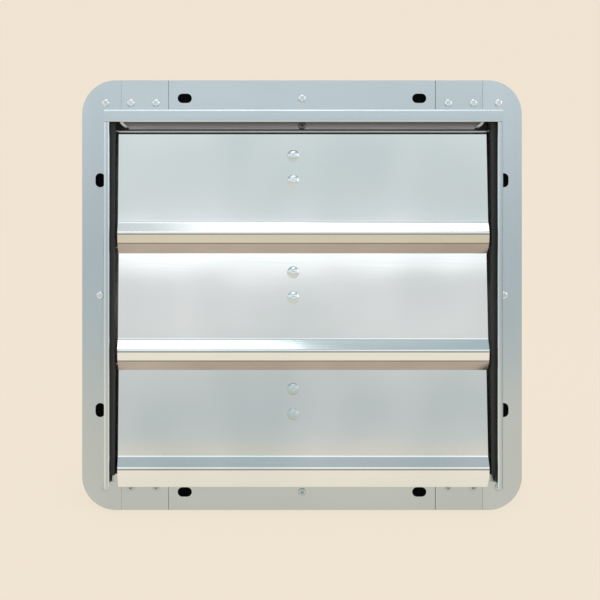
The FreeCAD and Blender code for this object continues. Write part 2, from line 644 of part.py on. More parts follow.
def build_fan():
    """Stamped fan wheel, its riveted hub, the set screw, and the shaft with the rotor core."""
    y0, y1 = FAN_BEHIND_FLANGE - FAN_SHEET_T / 2, FAN_BEHIND_FLANGE + FAN_SHEET_T / 2
    root = fan_section(FAN_ROOT_R, FAN_ROOT_CHORD, FAN_ROOT_PITCH_DEG)
    middle = fan_section((FAN_ROOT_R + FAN_R) / 2, (FAN_ROOT_CHORD + FAN_TIP_CHORD) / 2 + TIP_CLEAR,
                         (FAN_ROOT_PITCH_DEG + FAN_TIP_PITCH_DEG) / 2)
    tip = fan_section(FAN_R, FAN_TIP_CHORD, FAN_TIP_PITCH_DEG)
    reach = FAN_TIP_CHORD
    limit = rod_y(FAN_R, FAN_BEHIND_FLANGE - reach, FAN_BEHIND_FLANGE + reach, 0, 0)
    blade = Part.makeLoft([root, middle, tip], True, False).common(limit)
    wheel = rod_y(FAN_DISC_R, y0, y1, 0, 0)
    for i in range(FAN_BLADES):
        copy = blade.copy()
        copy.rotate(ORIGIN, Y_AXIS, 360.0 * i / FAN_BLADES)
        wheel = wheel.fuse(copy)
    spots = []
    for i in range(HUB_RIVETS):
        turn = 2 * math.pi * i / HUB_RIVETS
        spots.append((HUB_RIVET_PCD_R * math.cos(turn), HUB_RIVET_PCD_R * math.sin(turn)))
    hub_back = y1 + HUB_FLANGE_T
    holes = [rod_y(HUB_RIVET_R + RUN_CLEAR, y0, hub_back, x, z) for x, z in spots]
    pilot_hole = rod_y(HUB_PILOT_R + RUN_CLEAR, y0, y1, 0, 0)
    save("fan_wheel", wheel.cut([pilot_hole] + holes))

    boss_end = hub_back + HUB_L
    hub = rod_y(HUB_FLANGE_R, y1, hub_back, 0, 0).fuse(rod_y(HUB_R, hub_back, boss_end, 0, 0))
    hub = hub.fuse(rod_y(HUB_PILOT_R, y0 - HUB_PILOT_PROUD, y1, 0, 0))
    screw_y = hub_back + HUB_L / 2
    screw_hole = Part.makeCylinder(SET_SCREW_R + RUN_CLEAR, HUB_R, V(0, screw_y, 0), Z_AXIS)
    shaft_hole = rod_y(SHAFT_R + RUN_CLEAR, y0 - HUB_PILOT_PROUD, boss_end, 0, 0)
    save("fan_hub", hub.cut([shaft_hole, screw_hole] + holes))
    screw_low = SHAFT_R + SEAT_CLEAR
    screw = Part.makeCylinder(SET_SCREW_R, HUB_R - screw_low, V(0, screw_y, screw_low), Z_AXIS)
    save("hub_set_screw", screw)

    rivets = []
    for x, z in spots:
        head = dome_y(HUB_RIVET_HEAD_R, HUB_RIVET_HEAD_H, x, y0, z)
        shank = rod_y(HUB_RIVET_R, y0, hub_back, x, z)
        tail = rod_y(HUB_RIVET_HEAD_R, hub_back, hub_back + HUB_RIVET_HEAD_H, x, z)
        rivets.append(head.fuse([shank, tail]))
    save("hub_rivets", Part.makeCompound(rivets))

    shaft_start = y0 - 2 * HUB_PILOT_PROUD
    shaft_end = MOTOR_END_Y - MOTOR_WALL - SIDE_PLAY
    save("motor_shaft", rod_y(SHAFT_R, shaft_start, shaft_end, 0, 0))
    core = rod_y(ROTOR_R, STATOR_Y, STATOR_Y + STATOR_L, 0, 0)
    save("rotor_core", core.cut(rod_y(SHAFT_R + RUN_CLEAR, STATOR_Y, STATOR_Y + STATOR_L, 0, 0)))


def stud_places():
    """Centres of the motor's four through studs."""
    turns = [math.radians(45 + 90 * i) for i in range(4)]
    return [(STUD_RADIUS * math.cos(a), STUD_RADIUS * math.sin(a)) for a in turns]


def motor_bell(face_y, inward):
    """End bell whose outer face is at face_y; inward is +1 or -1 along Y, towards the can."""
    def span(a, b):
        return sorted((face_y + inward * a, face_y + inward * b))

    pocket_end = MOTOR_WALL + BEARING_L
    bell = rod_y(MOTOR_R, *span(0, BELL_DEPTH), 0, 0)
    bell = bell.cut(rod_y(MOTOR_R - MOTOR_WALL, *span(MOTOR_WALL, BELL_DEPTH), 0, 0))
    bell = bell.fuse(rod_y(BEARING_R + BEARING_BOSS_WALL, *span(MOTOR_WALL, pocket_end), 0, 0))
    ears = [rod_y(EAR_R, *span(0, BELL_DEPTH), x, z) for x, z in stud_places()]
    hollow = rod_y(MOTOR_R - MOTOR_WALL, *span(MOTOR_WALL, BELL_DEPTH), 0, 0)
    ears = [ear.cut(hollow) for ear in ears]
    bell = bell.fuse(ears)
    cuts = [rod_y(STUD_R + SEAT_CLEAR, *span(0, BELL_DEPTH), x, z) for x, z in stud_places()]
    cuts.append(rod_y(BEARING_R + RUN_CLEAR, *span(MOTOR_WALL, pocket_end), 0, 0))
    return bell.cut(cuts)


def build_motor():
    """Enclosed motor: bells, can, stator with its end windings, bearings and through studs."""
    front = motor_bell(MOTOR_Y, 1)
    front = front.cut(rod_y(SHAFT_R + SIDE_PLAY, MOTOR_Y, MOTOR_Y + MOTOR_WALL, 0, 0))
    save("motor_front_bell", front)

    vent_y = MOTOR_END_Y - MOTOR_WALL
    rear = motor_bell(MOTOR_END_Y, -1)
    for i in range(VENT_COUNT):
        low, high = VENT_RADIUS - VENT_L / 2, VENT_RADIUS + VENT_L / 2
        vent = box(-VENT_W / 2, VENT_W / 2, vent_y, MOTOR_END_Y, low, high)
        vent.rotate(ORIGIN, Y_AXIS, 360.0 * i / VENT_COUNT)
        rear = rear.cut(vent)
    save("motor_rear_bell", rear)

    inner = MOTOR_R - MOTOR_WALL
    can = rod_y(MOTOR_R, CAN_Y, REAR_BELL_Y, 0, 0).cut(rod_y(inner, CAN_Y, REAR_BELL_Y, 0, 0))
    save("motor_can", can)
    stator_end = STATOR_Y + STATOR_L
    bore_r = ROTOR_R + AIR_GAP
    stator = rod_y(inner - RUN_CLEAR, STATOR_Y, stator_end, 0, 0)
    save("stator_core", stator.cut(rod_y(bore_r, STATOR_Y, stator_end, 0, 0)))
    coil_in = bore_r + WINDING_IN
    rings = []
    for y0 in (STATOR_Y - WINDING_H, stator_end):
        ring = rod_y(coil_in + WINDING_T, y0, y0 + WINDING_H, 0, 0)
        rings.append(ring.cut(rod_y(coil_in, y0, y0 + WINDING_H, 0, 0)))
    save("end_windings", Part.makeCompound(rings))

    bearings = []
    for y0 in (MOTOR_Y + MOTOR_WALL, MOTOR_END_Y - MOTOR_WALL - BEARING_L):
        race = rod_y(BEARING_R, y0, y0 + BEARING_L, 0, 0)
        bearings.append(race.cut(rod_y(SHAFT_R + RUN_CLEAR, y0, y0 + BEARING_L, 0, 0)))
    save("motor_bearings", Part.makeCompound(bearings))

    studs = []
    for x, z in stud_places():
        stud = rod_y(STUD_R, MOTOR_PLATE_Y - NUT_H, MOTOR_END_Y + NUT_H, x, z)
        nuts = [hex_y(NUT_R, MOTOR_PLATE_Y - NUT_H, MOTOR_PLATE_Y, x, z)]
        nuts.append(hex_y(NUT_R, MOTOR_END_Y, MOTOR_END_Y + NUT_H, x, z))
        studs.append(stud.fuse(nuts))
    save("motor_studs", Part.makeCompound(studs))


def strap_bolt_places():
    """Centres of the bolts that join the motor plate to the straps."""
    return [(side * STRAP_X, end * STRAP_BOLT_Z) for side in (-1, 1) for end in (-1, 1)]


def build_carrier():
    """Two bent straps across the orifice, the motor plate on them, and its bolts."""
    mid_foot = PLATE_BACK + STRAP_T / 2
    mid_run = STRAP_RUN_Y + STRAP_T / 2
    foot_in = SLEEVE_HALF_H - STRAP_FOOT_L
    run_end = foot_in - STRAP_RISER_RUN
    half_line = [(mid_foot, SLEEVE_HALF_H), (mid_foot, foot_in), (mid_run, run_end)]
    line = half_line + [(y, -z) for y, z in half_line[::-1]]
    outline = strip(line, STRAP_T)
    bolts = [rod_y(BOLT_R + SEAT_CLEAR, STRAP_RUN_Y, MOTOR_Y, x, z) for x, z in strap_bolt_places()]
    holes = [rod_y(SCREW_R + RUN_CLEAR, PLATE_BACK, STRAP_RUN_Y, x, z) for x, z, _ in panel_screw_places()]
    for name, side in (("left_motor_strap", -1), ("right_motor_strap", 1)):
        strap = prism_x(outline, side * STRAP_X - STRAP_W / 2, side * STRAP_X + STRAP_W / 2)
        save(name, strap.cut(bolts + holes))

    half_w = STRAP_X + STRAP_W / 2
    plate = box(-half_w, half_w, MOTOR_PLATE_Y, MOTOR_Y, -MOTOR_PLATE_H / 2, MOTOR_PLATE_H / 2)
    cuts = [rod_y(MOTOR_PLATE_HOLE_R, MOTOR_PLATE_Y, MOTOR_Y, 0, 0)]
    cuts += [rod_y(STUD_R + SEAT_CLEAR, MOTOR_PLATE_Y, MOTOR_Y, x, z) for x, z in stud_places()]
    save("motor_plate", plate.cut(cuts + bolts))

    group = []
    for x, z in strap_bolt_places():
        shank = rod_y(BOLT_R, STRAP_RUN_Y - NUT_H, MOTOR_Y, x, z)
        nut = hex_y(BOLT_HEAD_R, STRAP_RUN_Y - NUT_H, STRAP_RUN_Y, x, z)
        head = hex_y(BOLT_HEAD_R, MOTOR_Y, MOTOR_Y + BOLT_HEAD_H, x, z)
        group.append(shank.fuse([nut, head]))
    save("strap_bolts", Part.makeCompound(group))

    screws = []
    for x, z, grip in panel_screw_places():
        seat = PLATE_BACK + grip
        shank = rod_y(SCREW_R, SLEEVE_D - SHEET_T - SCREW_TAIL, seat, x, z)
        screws.append(shank.fuse(rod_y(SCREW_HEAD_R, seat, seat + SCREW_HEAD_H, x, z)))
    save("panel_screws", Part.makeCompound(screws))


def build_guard():
    """Welded wire guard round the motor: rings, radial wires and four screwed legs."""
    pitch = (BELL_OUT_R - GUARD_INNER_R) / (GUARD_RINGS - 1)
    wires = []
    for i in range(GUARD_RINGS):
        ring = Part.makeTorus(GUARD_INNER_R + pitch * i, GUARD_WIRE_R, V(0, GUARD_Y, 0), Y_AXIS)
        ring.rotate(ORIGIN, Y_AXIS, GUARD_WELD_TURN_DEG)
        wires.append(ring)
    leg_r = math.hypot(GUARD_LEG_X, GUARD_LEG_Z)
    leg_turn = math.degrees(math.atan2(GUARD_LEG_Z, GUARD_LEG_X))
    leg_turns = (leg_turn, 180 - leg_turn, 180 + leg_turn, 360 - leg_turn)
    ends = BELL_OUT_R + GUARD_SPOKE_PAST
    spokes = [(turn, leg_r) for turn in leg_turns] + [(turn, ends) for turn in (90, 270)]
    start_r = GUARD_INNER_R - GUARD_SPOKE_PAST
    for turn, reach in spokes:
        a = math.radians(turn)
        out = V(math.cos(a), 0, math.sin(a))
        start = out * start_r + V(0, GUARD_Y, 0)
        wires.append(Part.makeCylinder(GUARD_SPOKE_R, reach - start_r, start, out))
    for sx in (-1, 1):
        for sz in (-1, 1):
            x, z = sx * GUARD_LEG_X, sz * GUARD_LEG_Z
            wires.append(rod_y(GUARD_LEG_R, PLATE_BACK, GUARD_Y + 2 * GUARD_SPOKE_R, x, z))
            x0, x1 = sorted((sx * (GUARD_LEG_X - GUARD_TAB_W / 2), sx * (SLEEVE_HALF_W - SHEET_T)))
            tab = box(x0, x1, PLATE_BACK, PLATE_BACK + GUARD_TAB_T, z - GUARD_TAB_W / 2, z + GUARD_TAB_W / 2)
            wires.append(tab)
    guard = wires[0].fuse(wires[1:])
    holes = [rod_y(SCREW_R + RUN_CLEAR, PLATE_BACK, PLATE_BACK + GUARD_TAB_T, x, z)
             for x, z, _ in panel_screw_places()]
    save("rear_guard", guard.cut(holes))


def build_electrics():
    """Junction box with cover and gland, the run capacitor in its clip, and the motor lead."""
    left, top = BOX_RIGHT - BOX_W, BOX_LOW + BOX_H
    shell = box(left, BOX_RIGHT, PLATE_BACK, BOX_BACK, BOX_LOW, top)
    hollow = box(left + BOX_WALL, BOX_RIGHT - BOX_WALL, PLATE_BACK + BOX_WALL, BOX_BACK,
                 BOX_LOW + BOX_WALL, top - BOX_WALL)
    screw_xz = []
    for x in (left + COVER_SCREW_IN, BOX_RIGHT - COVER_SCREW_IN):
        for z in (BOX_LOW + COVER_SCREW_IN, top - COVER_SCREW_IN):
            screw_xz.append((x, z))
    post_r = COVER_SCREW_IN - BOX_WALL + SEAM_GAP
    posts = [rod_y(post_r, PLATE_BACK + BOX_WALL, BOX_BACK, x, z) for x, z in screw_xz]
    shell = shell.cut(hollow).fuse(posts)
    cover_back = BOX_BACK + COVER_T
    tap_y = cover_back - COVER_SCREW_L
    taps = [rod_y(COVER_SCREW_R + RUN_CLEAR, tap_y, cover_back, x, z) for x, z in screw_xz]
    save("junction_box", shell.removeSplitter().cut(taps))
    gland_hole = rod_y(GLAND_R + SEAT_CLEAR, BOX_BACK, cover_back, BOX_X, BOX_Z)
    cover = box(left, BOX_RIGHT, BOX_BACK, cover_back, BOX_LOW, top)
    save("box_cover", cover.cut(taps + [gland_hole]))
    screws = []
    for x, z in screw_xz:
        shank = rod_y(COVER_SCREW_R, tap_y + SIDE_PLAY, cover_back, x, z)
        head = rod_y(COVER_SCREW_HEAD_R, cover_back, cover_back + COVER_SCREW_HEAD_H, x, z)
        screws.append(shank.fuse(head))
    save("cover_screws", Part.makeCompound(screws))

    flange_back = cover_back + GLAND_FLANGE_T
    gland = rod_y(GLAND_R, BOX_BACK - GLAND_FLANGE_T, cover_back, BOX_X, BOX_Z)
    gland = gland.fuse(hex_y(GLAND_FLANGE_R, cover_back, flange_back, BOX_X, BOX_Z))
    gland = gland.fuse(rod_y(GLAND_DOME_R, flange_back, flange_back + GLAND_DOME_L, BOX_X, BOX_Z))
    bore = rod_y(GLAND_BORE_R, BOX_BACK - GLAND_FLANGE_T, flange_back + GLAND_DOME_L, BOX_X, BOX_Z)
    save("cable_gland", gland.cut(bore))

    cap_x, cap_z = SLEEVE_HALF_W - CAPACITOR_EDGE, SLEEVE_HALF_H - CAPACITOR_EDGE
    save("capacitor", rod_y(CAPACITOR_R, PLATE_BACK, PLATE_BACK + CAPACITOR_L, cap_x, cap_z))
    inner = CAPACITOR_R + SEAT_CLEAR
    outer = inner + CLIP_T
    clip = rod_y(outer, PLATE_BACK, PLATE_BACK + CLIP_H, cap_x, cap_z)
    foot = box(cap_x - CLIP_FOOT_W / 2, cap_x + CLIP_FOOT_W / 2, PLATE_BACK, PLATE_BACK + CLIP_T,
               cap_z, SLEEVE_HALF_H)
    clip = clip.fuse(foot).cut(rod_y(inner, PLATE_BACK, PLATE_BACK + CLIP_H, cap_x, cap_z))
    save("capacitor_clip", clip)

    bend = V(0, LEAD_Y, BOX_Z)
    start = V(left, LEAD_Y, BOX_Z)
    end = V(0, LEAD_Y, -MOTOR_R)
    arc_from = bend + X_AXIS * LEAD_BEND_R
    arc_to = bend + Z_AXIS * LEAD_BEND_R
    arc_mid = bend + (X_AXIS + Z_AXIS) * (LEAD_BEND_R * (1 - math.sqrt(0.5)))
    turn = Part.Arc(arc_from, arc_mid, arc_to).toShape()
    route = [Part.makeLine(start, arc_from), turn, Part.makeLine(arc_to, end)]
    ring = Part.Wire([Part.makeCircle(LEAD_R, start, X_AXIS)])
    save("motor_lead", Part.Wire(route).makePipeShell([ring], True, False))


def main():
    """Build every piece of the fan."""
    os.makedirs("parts", exist_ok=True)
    build_flange()
    build_rivets()
    build_stop_rails()
    build_pivot_rails()
    for name, z in zip(LOUVER_NAMES, PIVOT_Z):
        build_louver(name, z)
    build_tie_bar()
    build_sleeve()
    build_fan()
    build_motor()
    build_carrier()
    build_guard()
    build_electrics()


main()
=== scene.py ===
"""Visual model of the shutter exhaust fan: rounded sheet metal, finishes, studio and camera.

Metres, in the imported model's own frame: +Z is up, the louvres face -Y and the motor is at +Y. The sizes of
the fan's own sub-assemblies are in millimetres.
"""

import json
import logging
import math
from collections.abc import Iterable, Sequence
from dataclasses import dataclass, field, replace
from enum import Enum, IntEnum

import bmesh
import bpy
from bmesh.types import BMEdge, BMesh, BMFace, BMVert
from bpy.types import Material, Node, NodeSocket, Object
from mathutils import Matrix, Vector

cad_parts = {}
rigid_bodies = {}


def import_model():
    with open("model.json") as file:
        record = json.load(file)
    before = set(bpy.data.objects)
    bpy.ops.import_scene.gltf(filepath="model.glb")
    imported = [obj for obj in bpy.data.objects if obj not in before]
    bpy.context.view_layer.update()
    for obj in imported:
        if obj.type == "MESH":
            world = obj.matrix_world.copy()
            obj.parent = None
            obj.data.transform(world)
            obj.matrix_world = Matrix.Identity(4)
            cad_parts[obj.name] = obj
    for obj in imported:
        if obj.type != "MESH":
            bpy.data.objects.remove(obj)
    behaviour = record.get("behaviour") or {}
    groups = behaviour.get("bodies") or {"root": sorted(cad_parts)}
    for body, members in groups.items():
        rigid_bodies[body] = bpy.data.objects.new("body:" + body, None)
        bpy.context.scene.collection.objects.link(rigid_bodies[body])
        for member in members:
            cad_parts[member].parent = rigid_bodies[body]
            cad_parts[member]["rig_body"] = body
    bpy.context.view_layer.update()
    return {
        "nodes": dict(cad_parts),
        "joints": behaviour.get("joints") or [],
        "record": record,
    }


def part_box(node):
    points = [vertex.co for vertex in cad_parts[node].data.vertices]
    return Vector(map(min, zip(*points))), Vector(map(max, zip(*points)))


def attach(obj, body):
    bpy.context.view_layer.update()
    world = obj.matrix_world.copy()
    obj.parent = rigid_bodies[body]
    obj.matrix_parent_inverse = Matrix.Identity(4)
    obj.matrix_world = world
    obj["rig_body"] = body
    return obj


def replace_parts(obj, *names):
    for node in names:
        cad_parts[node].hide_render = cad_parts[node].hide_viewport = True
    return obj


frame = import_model()
LOG = logging.getLogger("shutter_fan")
MM = 0.001
SIDES = (-1, 1)
QUARTER = math.pi / 2
SPIN_MERGE = 1e-6
# Range that holds most of a noise texture's values
NOISE_RANGE = (0.3, 0.7)
# Colour sockets of a Mix node
MIX_A, MIX_B, MIX_OUT = 6, 7, 2
Colour = tuple[float, float, float]
Point2 = tuple[float, float]
Point3 = tuple[float, float, float]
Profile = tuple[Point2, ...]
Tone = NodeSocket | Colour
Inputs = dict[str | int, object]


class Grain(Enum):
    """Direction of a sheet's grain, or of a bend in it."""

    ALONG_X = 0
    ALONG_Z = 2

    def scale(self, along: float, across: float) -> Point3:
        """Texture scales per metre, along the grain and across it."""
        return tuple(along if axis == self.value else across for axis in range(3))


class Mark(IntEnum):
    """Which of a piece's finishes the rounded strip of a bend gets."""

    KEPT = -1
    SECOND = 1
    THIRD = 2


class BladeFace(IntEnum):
    """Material index of each kind of face on a louvre blade."""

    PANEL = 0
    # Painted shade: the hem is darker than the panel
    HEM = 1
    # Painted shade in the crease below the hem
    SHADED_CREASE = 2
    # Painted shade line on press lines
    SHADE_LINE = 3
    # Painted shade on the upper lips' last fold
    SHADED_FOLD = 4
    # Painted reflection: bright lip folds
    BRIGHT_REFLECTION = 5
    # Painted reflection: tan lip fold
    TAN_REFLECTION = 6


class NodeTree:
    """Shader nodes of a material or a world, with short ways to add and join them."""

    def __init__(self, tree: bpy.types.NodeTree) -> None:
        """Take up a tree of nodes."""
        self.nodes = tree.nodes
        self.links = tree.links

    def feed(self, node: Node, inputs: Inputs) -> None:
        """Set or link inputs of a node.

        Args:
            node: Node to feed.
            inputs: A plain value or a source socket for each input, by the input's name or place.
        """
        for key, value in inputs.items():
            if isinstance(value, NodeSocket):
                self.links.new(value, node.inputs[key])
            else:
                node.inputs[key].default_value = value

    def node(self, kind: str, inputs: Inputs | None = None, **settings: object) -> Node:
        """Add a node.

        Args:
            kind: Blender's name for the kind of node.
            inputs: What its inputs are fed with, if anything.
            **settings: Properties of the node.

        Returns:
            The new node.
        """
        node = self.nodes.new(kind)
        for key, value in settings.items():
            setattr(node, key, value)
        self.feed(node, inputs or {})
        return node

    def span(self, value: NodeSocket, source: Point2, target: Point2 = (0.0, 1.0)) -> NodeSocket:
        """Map a value from one range to another, clamped."""
        ends = dict(zip(("From Min", "From Max", "To Min", "To Max"), (*source, *target)))
        return self.node("ShaderNodeMapRange", {"Value": value, **ends}).outputs["Result"]


class Surface(NodeTree):
    """Nodes of one material, whose patterns read Object coordinates."""

    def __init__(self, name: str) -> None:
        """Start a material that has only its shader and its coordinates.

        Args:
            name: Name of the material.
        """
        self.material = bpy.data.materials.new(name)
        self.material.use_nodes = True
        super().__init__(self.material.node_tree)
        self.shader = self.nodes["Principled BSDF"]
        self.place = self.node("ShaderNodeTexCoord").outputs["Object"]

    def stretched(self, scale: Sequence[float]) -> NodeSocket:
        """Object coordinates scaled along each axis."""
        return self.node("ShaderNodeMapping", {"Vector": self.place, "Scale": scale}).outputs["Vector"]

    def noise(self, vector: NodeSocket, scale: float = 1.0, detail: float = 3.0) -> NodeSocket:
        """Value of a noise texture, about 0.5 on average."""
        inputs = {"Vector": vector, "Scale": scale, "Detail": detail}
        return self.node("ShaderNodeTexNoise", inputs).outputs[0]

    def cells(self, scale: float) -> NodeSocket:
        """One random value for each crystal-like cell, at so many cells per metre."""
        cell = self.node("ShaderNodeTexVoronoi", {"Vector": self.place, "Scale": scale}).outputs["Color"]
        return self.node("ShaderNodeSeparateColor", {0: cell}).outputs[0]

    def blend(self, factor: NodeSocket, first: Tone, second: Tone) -> NodeSocket:
        """Mix two colours, each a socket or a plain colour, by a factor."""
        a, b = (part if isinstance(part, NodeSocket) else (*part, 1.0) for part in (first, second))
        return self.node("ShaderNodeMix", {0: factor, MIX_A: a, MIX_B: b}, data_type="RGBA").outputs[MIX_OUT]

    def dress(self, tone: NodeSocket, gloss: NodeSocket, metal: float = 0.0) -> None:
        """Give the shader its colour, its roughness and its share of metal."""
        self.feed(self.shader, {"Base Color": tone, "Roughness": gloss, "Metallic": metal})

    def bump(self, height: NodeSocket, depth: float) -> None:
        """Add relief to the shader, over any earlier relief.

        Args:
            height: Height of the relief, from 0 to 1.
            depth: Depth in metres that a height of 1 stands for.
        """
        normal = self.shader.inputs["Normal"]
        inputs = {"Height": height, "Distance": depth}
        if normal.is_linked:
            inputs["Normal"] = normal.links[0].from_socket
        self.feed(self.shader, {"Normal": self.node("ShaderNodeBump", inputs).outputs["Normal"]})


@dataclass(frozen=True)
class RolledSheet:
    """Rolled metal sheet: streaks along the grain, cloudy patches, and a slight waviness."""

    name: str
    colour: Colour
    cloud: Colour
    gloss: Point2
    grain: Grain = Grain.ALONG_X
    streak_depth: float = 0.00002
    streak_tone: float = 0.55
    streak_scale: Point2 = (22.0, 850.0)
    streak_range: Point2 = (0.5, 0.8)
    streak_shade: float = 0.86
    wave_depth: float = 0.0004
    wave_scale: float = 11.0
    cloud_scale: Point2 = (6.0, 16.0)
    cloud_range: Point2 = (0.35, 0.66)

    def make(self) -> Material:
        """Build the material.

        Returns:
            The new material.
        """
        s = Surface(self.name)
        streaks = s.noise(s.stretched(self.grain.scale(*self.streak_scale)), detail=4.0)
        clouds = s.noise(s.stretched(self.grain.scale(*self.cloud_scale)), detail=2.0)
        tone = s.blend(s.span(clouds, self.cloud_range), self.colour, self.cloud)
        darker = tuple(self.streak_shade * part for part in self.colour)
        streaked = s.blend(s.span(streaks, self.streak_range, (0.0, self.streak_tone)), tone, darker)
        s.dress(streaked, s.span(streaks, NOISE_RANGE, self.gloss), metal=1.0)
        s.bump(s.noise(s.place, self.wave_scale, detail=1.0), self.wave_depth)
        s.bump(streaks, self.streak_depth)
        return s.material


@dataclass(frozen=True)
class GalvanisedSheet:
    """Zinc-coated sheet with its crystal spangle."""

    name: str
    colour: Colour
    dull: Colour
    gloss: Point2 = (0.3, 0.48)
    spangle_scale: float = 95.0
    spangle_range: Point2 = (0.1, 0.9)
    dust_scale: float = 420.0
    dust_range: Point2 = (0.5, 0.75)
    dust_tone: float = 0.4
    dust_shade: float = 0.8
    dust_depth: float = 0.00003
    wave_scale: float = 14.0
    wave_depth: float = 0.0004

    def make(self) -> Material:
        """Build the material.

        Returns:
            The new material.
        """
        s = Surface(self.name)
        spangle = s.cells(self.spangle_scale)
        dust = s.noise(s.place, self.dust_scale)
        tone = s.blend(s.span(spangle, self.spangle_range), self.colour, self.dull)
        darker = tuple(self.dust_shade * part for part in self.dull)
        dusty = s.blend(s.span(dust, self.dust_range, (0.0, self.dust_tone)), tone, darker)
        s.dress(dusty, s.span(spangle, (0.0, 1.0), self.gloss), metal=1.0)
        s.bump(s.noise(s.place, self.wave_scale, detail=1.0), self.wave_depth)
        s.bump(dust, self.dust_depth)
        return s.material


@dataclass(frozen=True)
class Coating:
    """Moulded plastic, rubber or enamel: a fine skin texture with patches of dust in the tone."""

    name: str
    colour: Colour
    patch: Colour
    gloss: Point2
    skin_scale: float = 1400.0
    skin_depth: float = 0.00004
    shine: float = 0.5
    patch_scale: float = 38.0
    patch_detail: float = 5.0
    patch_range: Point2 = (0.45, 0.8)
    patch_tone: float = 0.6
    metal: float = 0.0

    def make(self) -> Material:
        """Build the material.

        Returns:
            The new material.
        """
        s = Surface(self.name)
        skin = s.noise(s.place, self.skin_scale, detail=2.0)
        patches = s.noise(s.place, self.patch_scale, self.patch_detail)
        share = s.span(patches, self.patch_range, (0.0, self.patch_tone))
        rough = s.span(skin if self.metal else patches, NOISE_RANGE, self.gloss)
        s.dress(s.blend(share, self.colour, self.patch), rough, self.metal)
        s.feed(s.shader, {"Specular IOR Level": self.shine})
        s.bump(skin, self.skin_depth)
        return s.material


@dataclass(frozen=True)
class TurnedMetal(Coating):
    """Plated, drawn or machined metal, whose skin is fine tool marks and whose patches are small stains."""

    skin_scale: float = 900.0
    skin_depth: float = 0.00002
    patch_scale: float = 120.0
    patch_detail: float = 3.0
    patch_range: Point2 = (0.45, 0.75)
    patch_tone: float = 0.7
    metal: float = 1.0


@dataclass(frozen=True)
class WoundWire:
    """Lacquered winding wire seen as rows of fine turns."""

    name: str
    colour: Colour
    shade: Colour
    gloss: Point2 = (0.5, 0.3)
    turn_scale: float = 420.0
    turn_depth: float = 0.0001
    wander: float = 2.0

    def make(self) -> Material:
        """Build the material.

        Returns:
            The new material.
        """
        s = Surface(self.name)
        inputs = {"Vector": s.place, "Scale": self.turn_scale, "Distortion": self.wander}
        rings = s.node("ShaderNodeTexWave", inputs, wave_type="RINGS", rings_direction="Y")
        turns = rings.outputs["Fac"]
        s.dress(s.blend(turns, self.shade, self.colour), s.span(turns, (0.0, 1.0), self.gloss), metal=1.0)
        s.bump(turns, self.turn_depth)
        return s.material


Finish = RolledSheet | GalvanisedSheet | Coating | WoundWire
SATIN_SHEET = RolledSheet(
    "satin_frame_sheet", (0.59, 0.67, 0.715), (0.55, 0.63, 0.67), (0.215, 0.245), streak_depth=0.0000012,
    streak_tone=0.18, wave_depth=0.0002)
BRIGHT_SHEET = RolledSheet(
    "bright_blade_sheet", (0.86, 0.875, 0.88), (0.69, 0.745, 0.75), (0.07, 0.10), streak_depth=0.0000015,
    streak_tone=0.2, cloud_scale=(8.0, 5.0))
FINISHES: dict[str, Finish] = {
    "frame_aluminium": SATIN_SHEET,
    "blade_aluminium": BRIGHT_SHEET,
    "link_aluminium": RolledSheet(
        "mill_bar", (0.70, 0.72, 0.73), (0.62, 0.64, 0.65), (0.34, 0.46), Grain.ALONG_Z),
    "rivet_aluminium": TurnedMetal("bright_rivet", (0.84, 0.87, 0.88), (0.74, 0.78, 0.80), (0.16, 0.26)),
    "black_plastic": Coating("black_moulding", (0.016, 0.019, 0.019), (0.030, 0.034, 0.034), (0.42, 0.58)),
    "bush_plastic": Coating("bush_moulding", (0.010, 0.010, 0.011), (0.020, 0.019, 0.020), (0.34, 0.5)),
    "galvanised_steel": GalvanisedSheet("spangled_zinc", (0.62, 0.65, 0.66), (0.47, 0.50, 0.52)),
    "zinc_steel": TurnedMetal("zinc_plate", (0.68, 0.69, 0.70), (0.56, 0.56, 0.55), (0.24, 0.38)),
    "fan_aluminium": RolledSheet("stamped_fan_sheet", (0.70, 0.72, 0.73), (0.64, 0.66, 0.68), (0.30, 0.42)),
    "hub_iron": TurnedMetal("machined_iron", (0.24, 0.24, 0.25), (0.15, 0.14, 0.13), (0.42, 0.6)),
    "motor_paint": Coating(
        "dark_enamel", (0.050, 0.056, 0.062), (0.085, 0.09, 0.092), (0.28, 0.46), 520.0, 0.00008),
    "winding_copper": WoundWire("lacquered_copper", (0.62, 0.27, 0.10), (0.28, 0.10, 0.03)),
    "guard_wire": TurnedMetal("plated_wire", (0.66, 0.67, 0.69), (0.52, 0.53, 0.54), (0.26, 0.4), 600.0),
    "capacitor_shell": Coating("pale_case", (0.70, 0.70, 0.66), (0.60, 0.59, 0.54), (0.3, 0.42), 900.0),
    "lead_rubber": Coating("rubber_sheath", (0.014, 0.014, 0.014), (0.032, 0.031, 0.030), (0.5, 0.7), 1100.0),
}
UPRIGHT_SHEET = replace(SATIN_SHEET, name="satin_upright_sheet", grain=Grain.ALONG_Z)
# Painted reflection: a brighter, bluer blade sheet for the bright surroundings mirrored in the lowest lip and
# the middle lip's middle fold
BRIGHT_REFLECTION_LIP = replace(
    BRIGHT_SHEET, name="bright_reflection_lip", colour=(0.93, 0.975, 0.99), cloud=(0.87, 0.93, 0.955))
# Painted reflection: a tan blade sheet for the warm floor mirrored in the top lip's middle fold
TAN_REFLECTION_LIP = replace(BRIGHT_SHEET, name="tan_reflection_lip", colour=(0.80, 0.785, 0.70), cloud=(0.70, 0.69, 0.60))
# Painted highlight: a lighter sheet on the channels' rounded front edges and lips
PAINTED_HIGHLIGHT_EDGE = RolledSheet(
    "painted_highlight_edge", (0.77, 0.86, 0.91), (0.72, 0.81, 0.855), (0.2, 0.27), streak_depth=0.000001,
    streak_tone=0.3, wave_depth=0.0001)
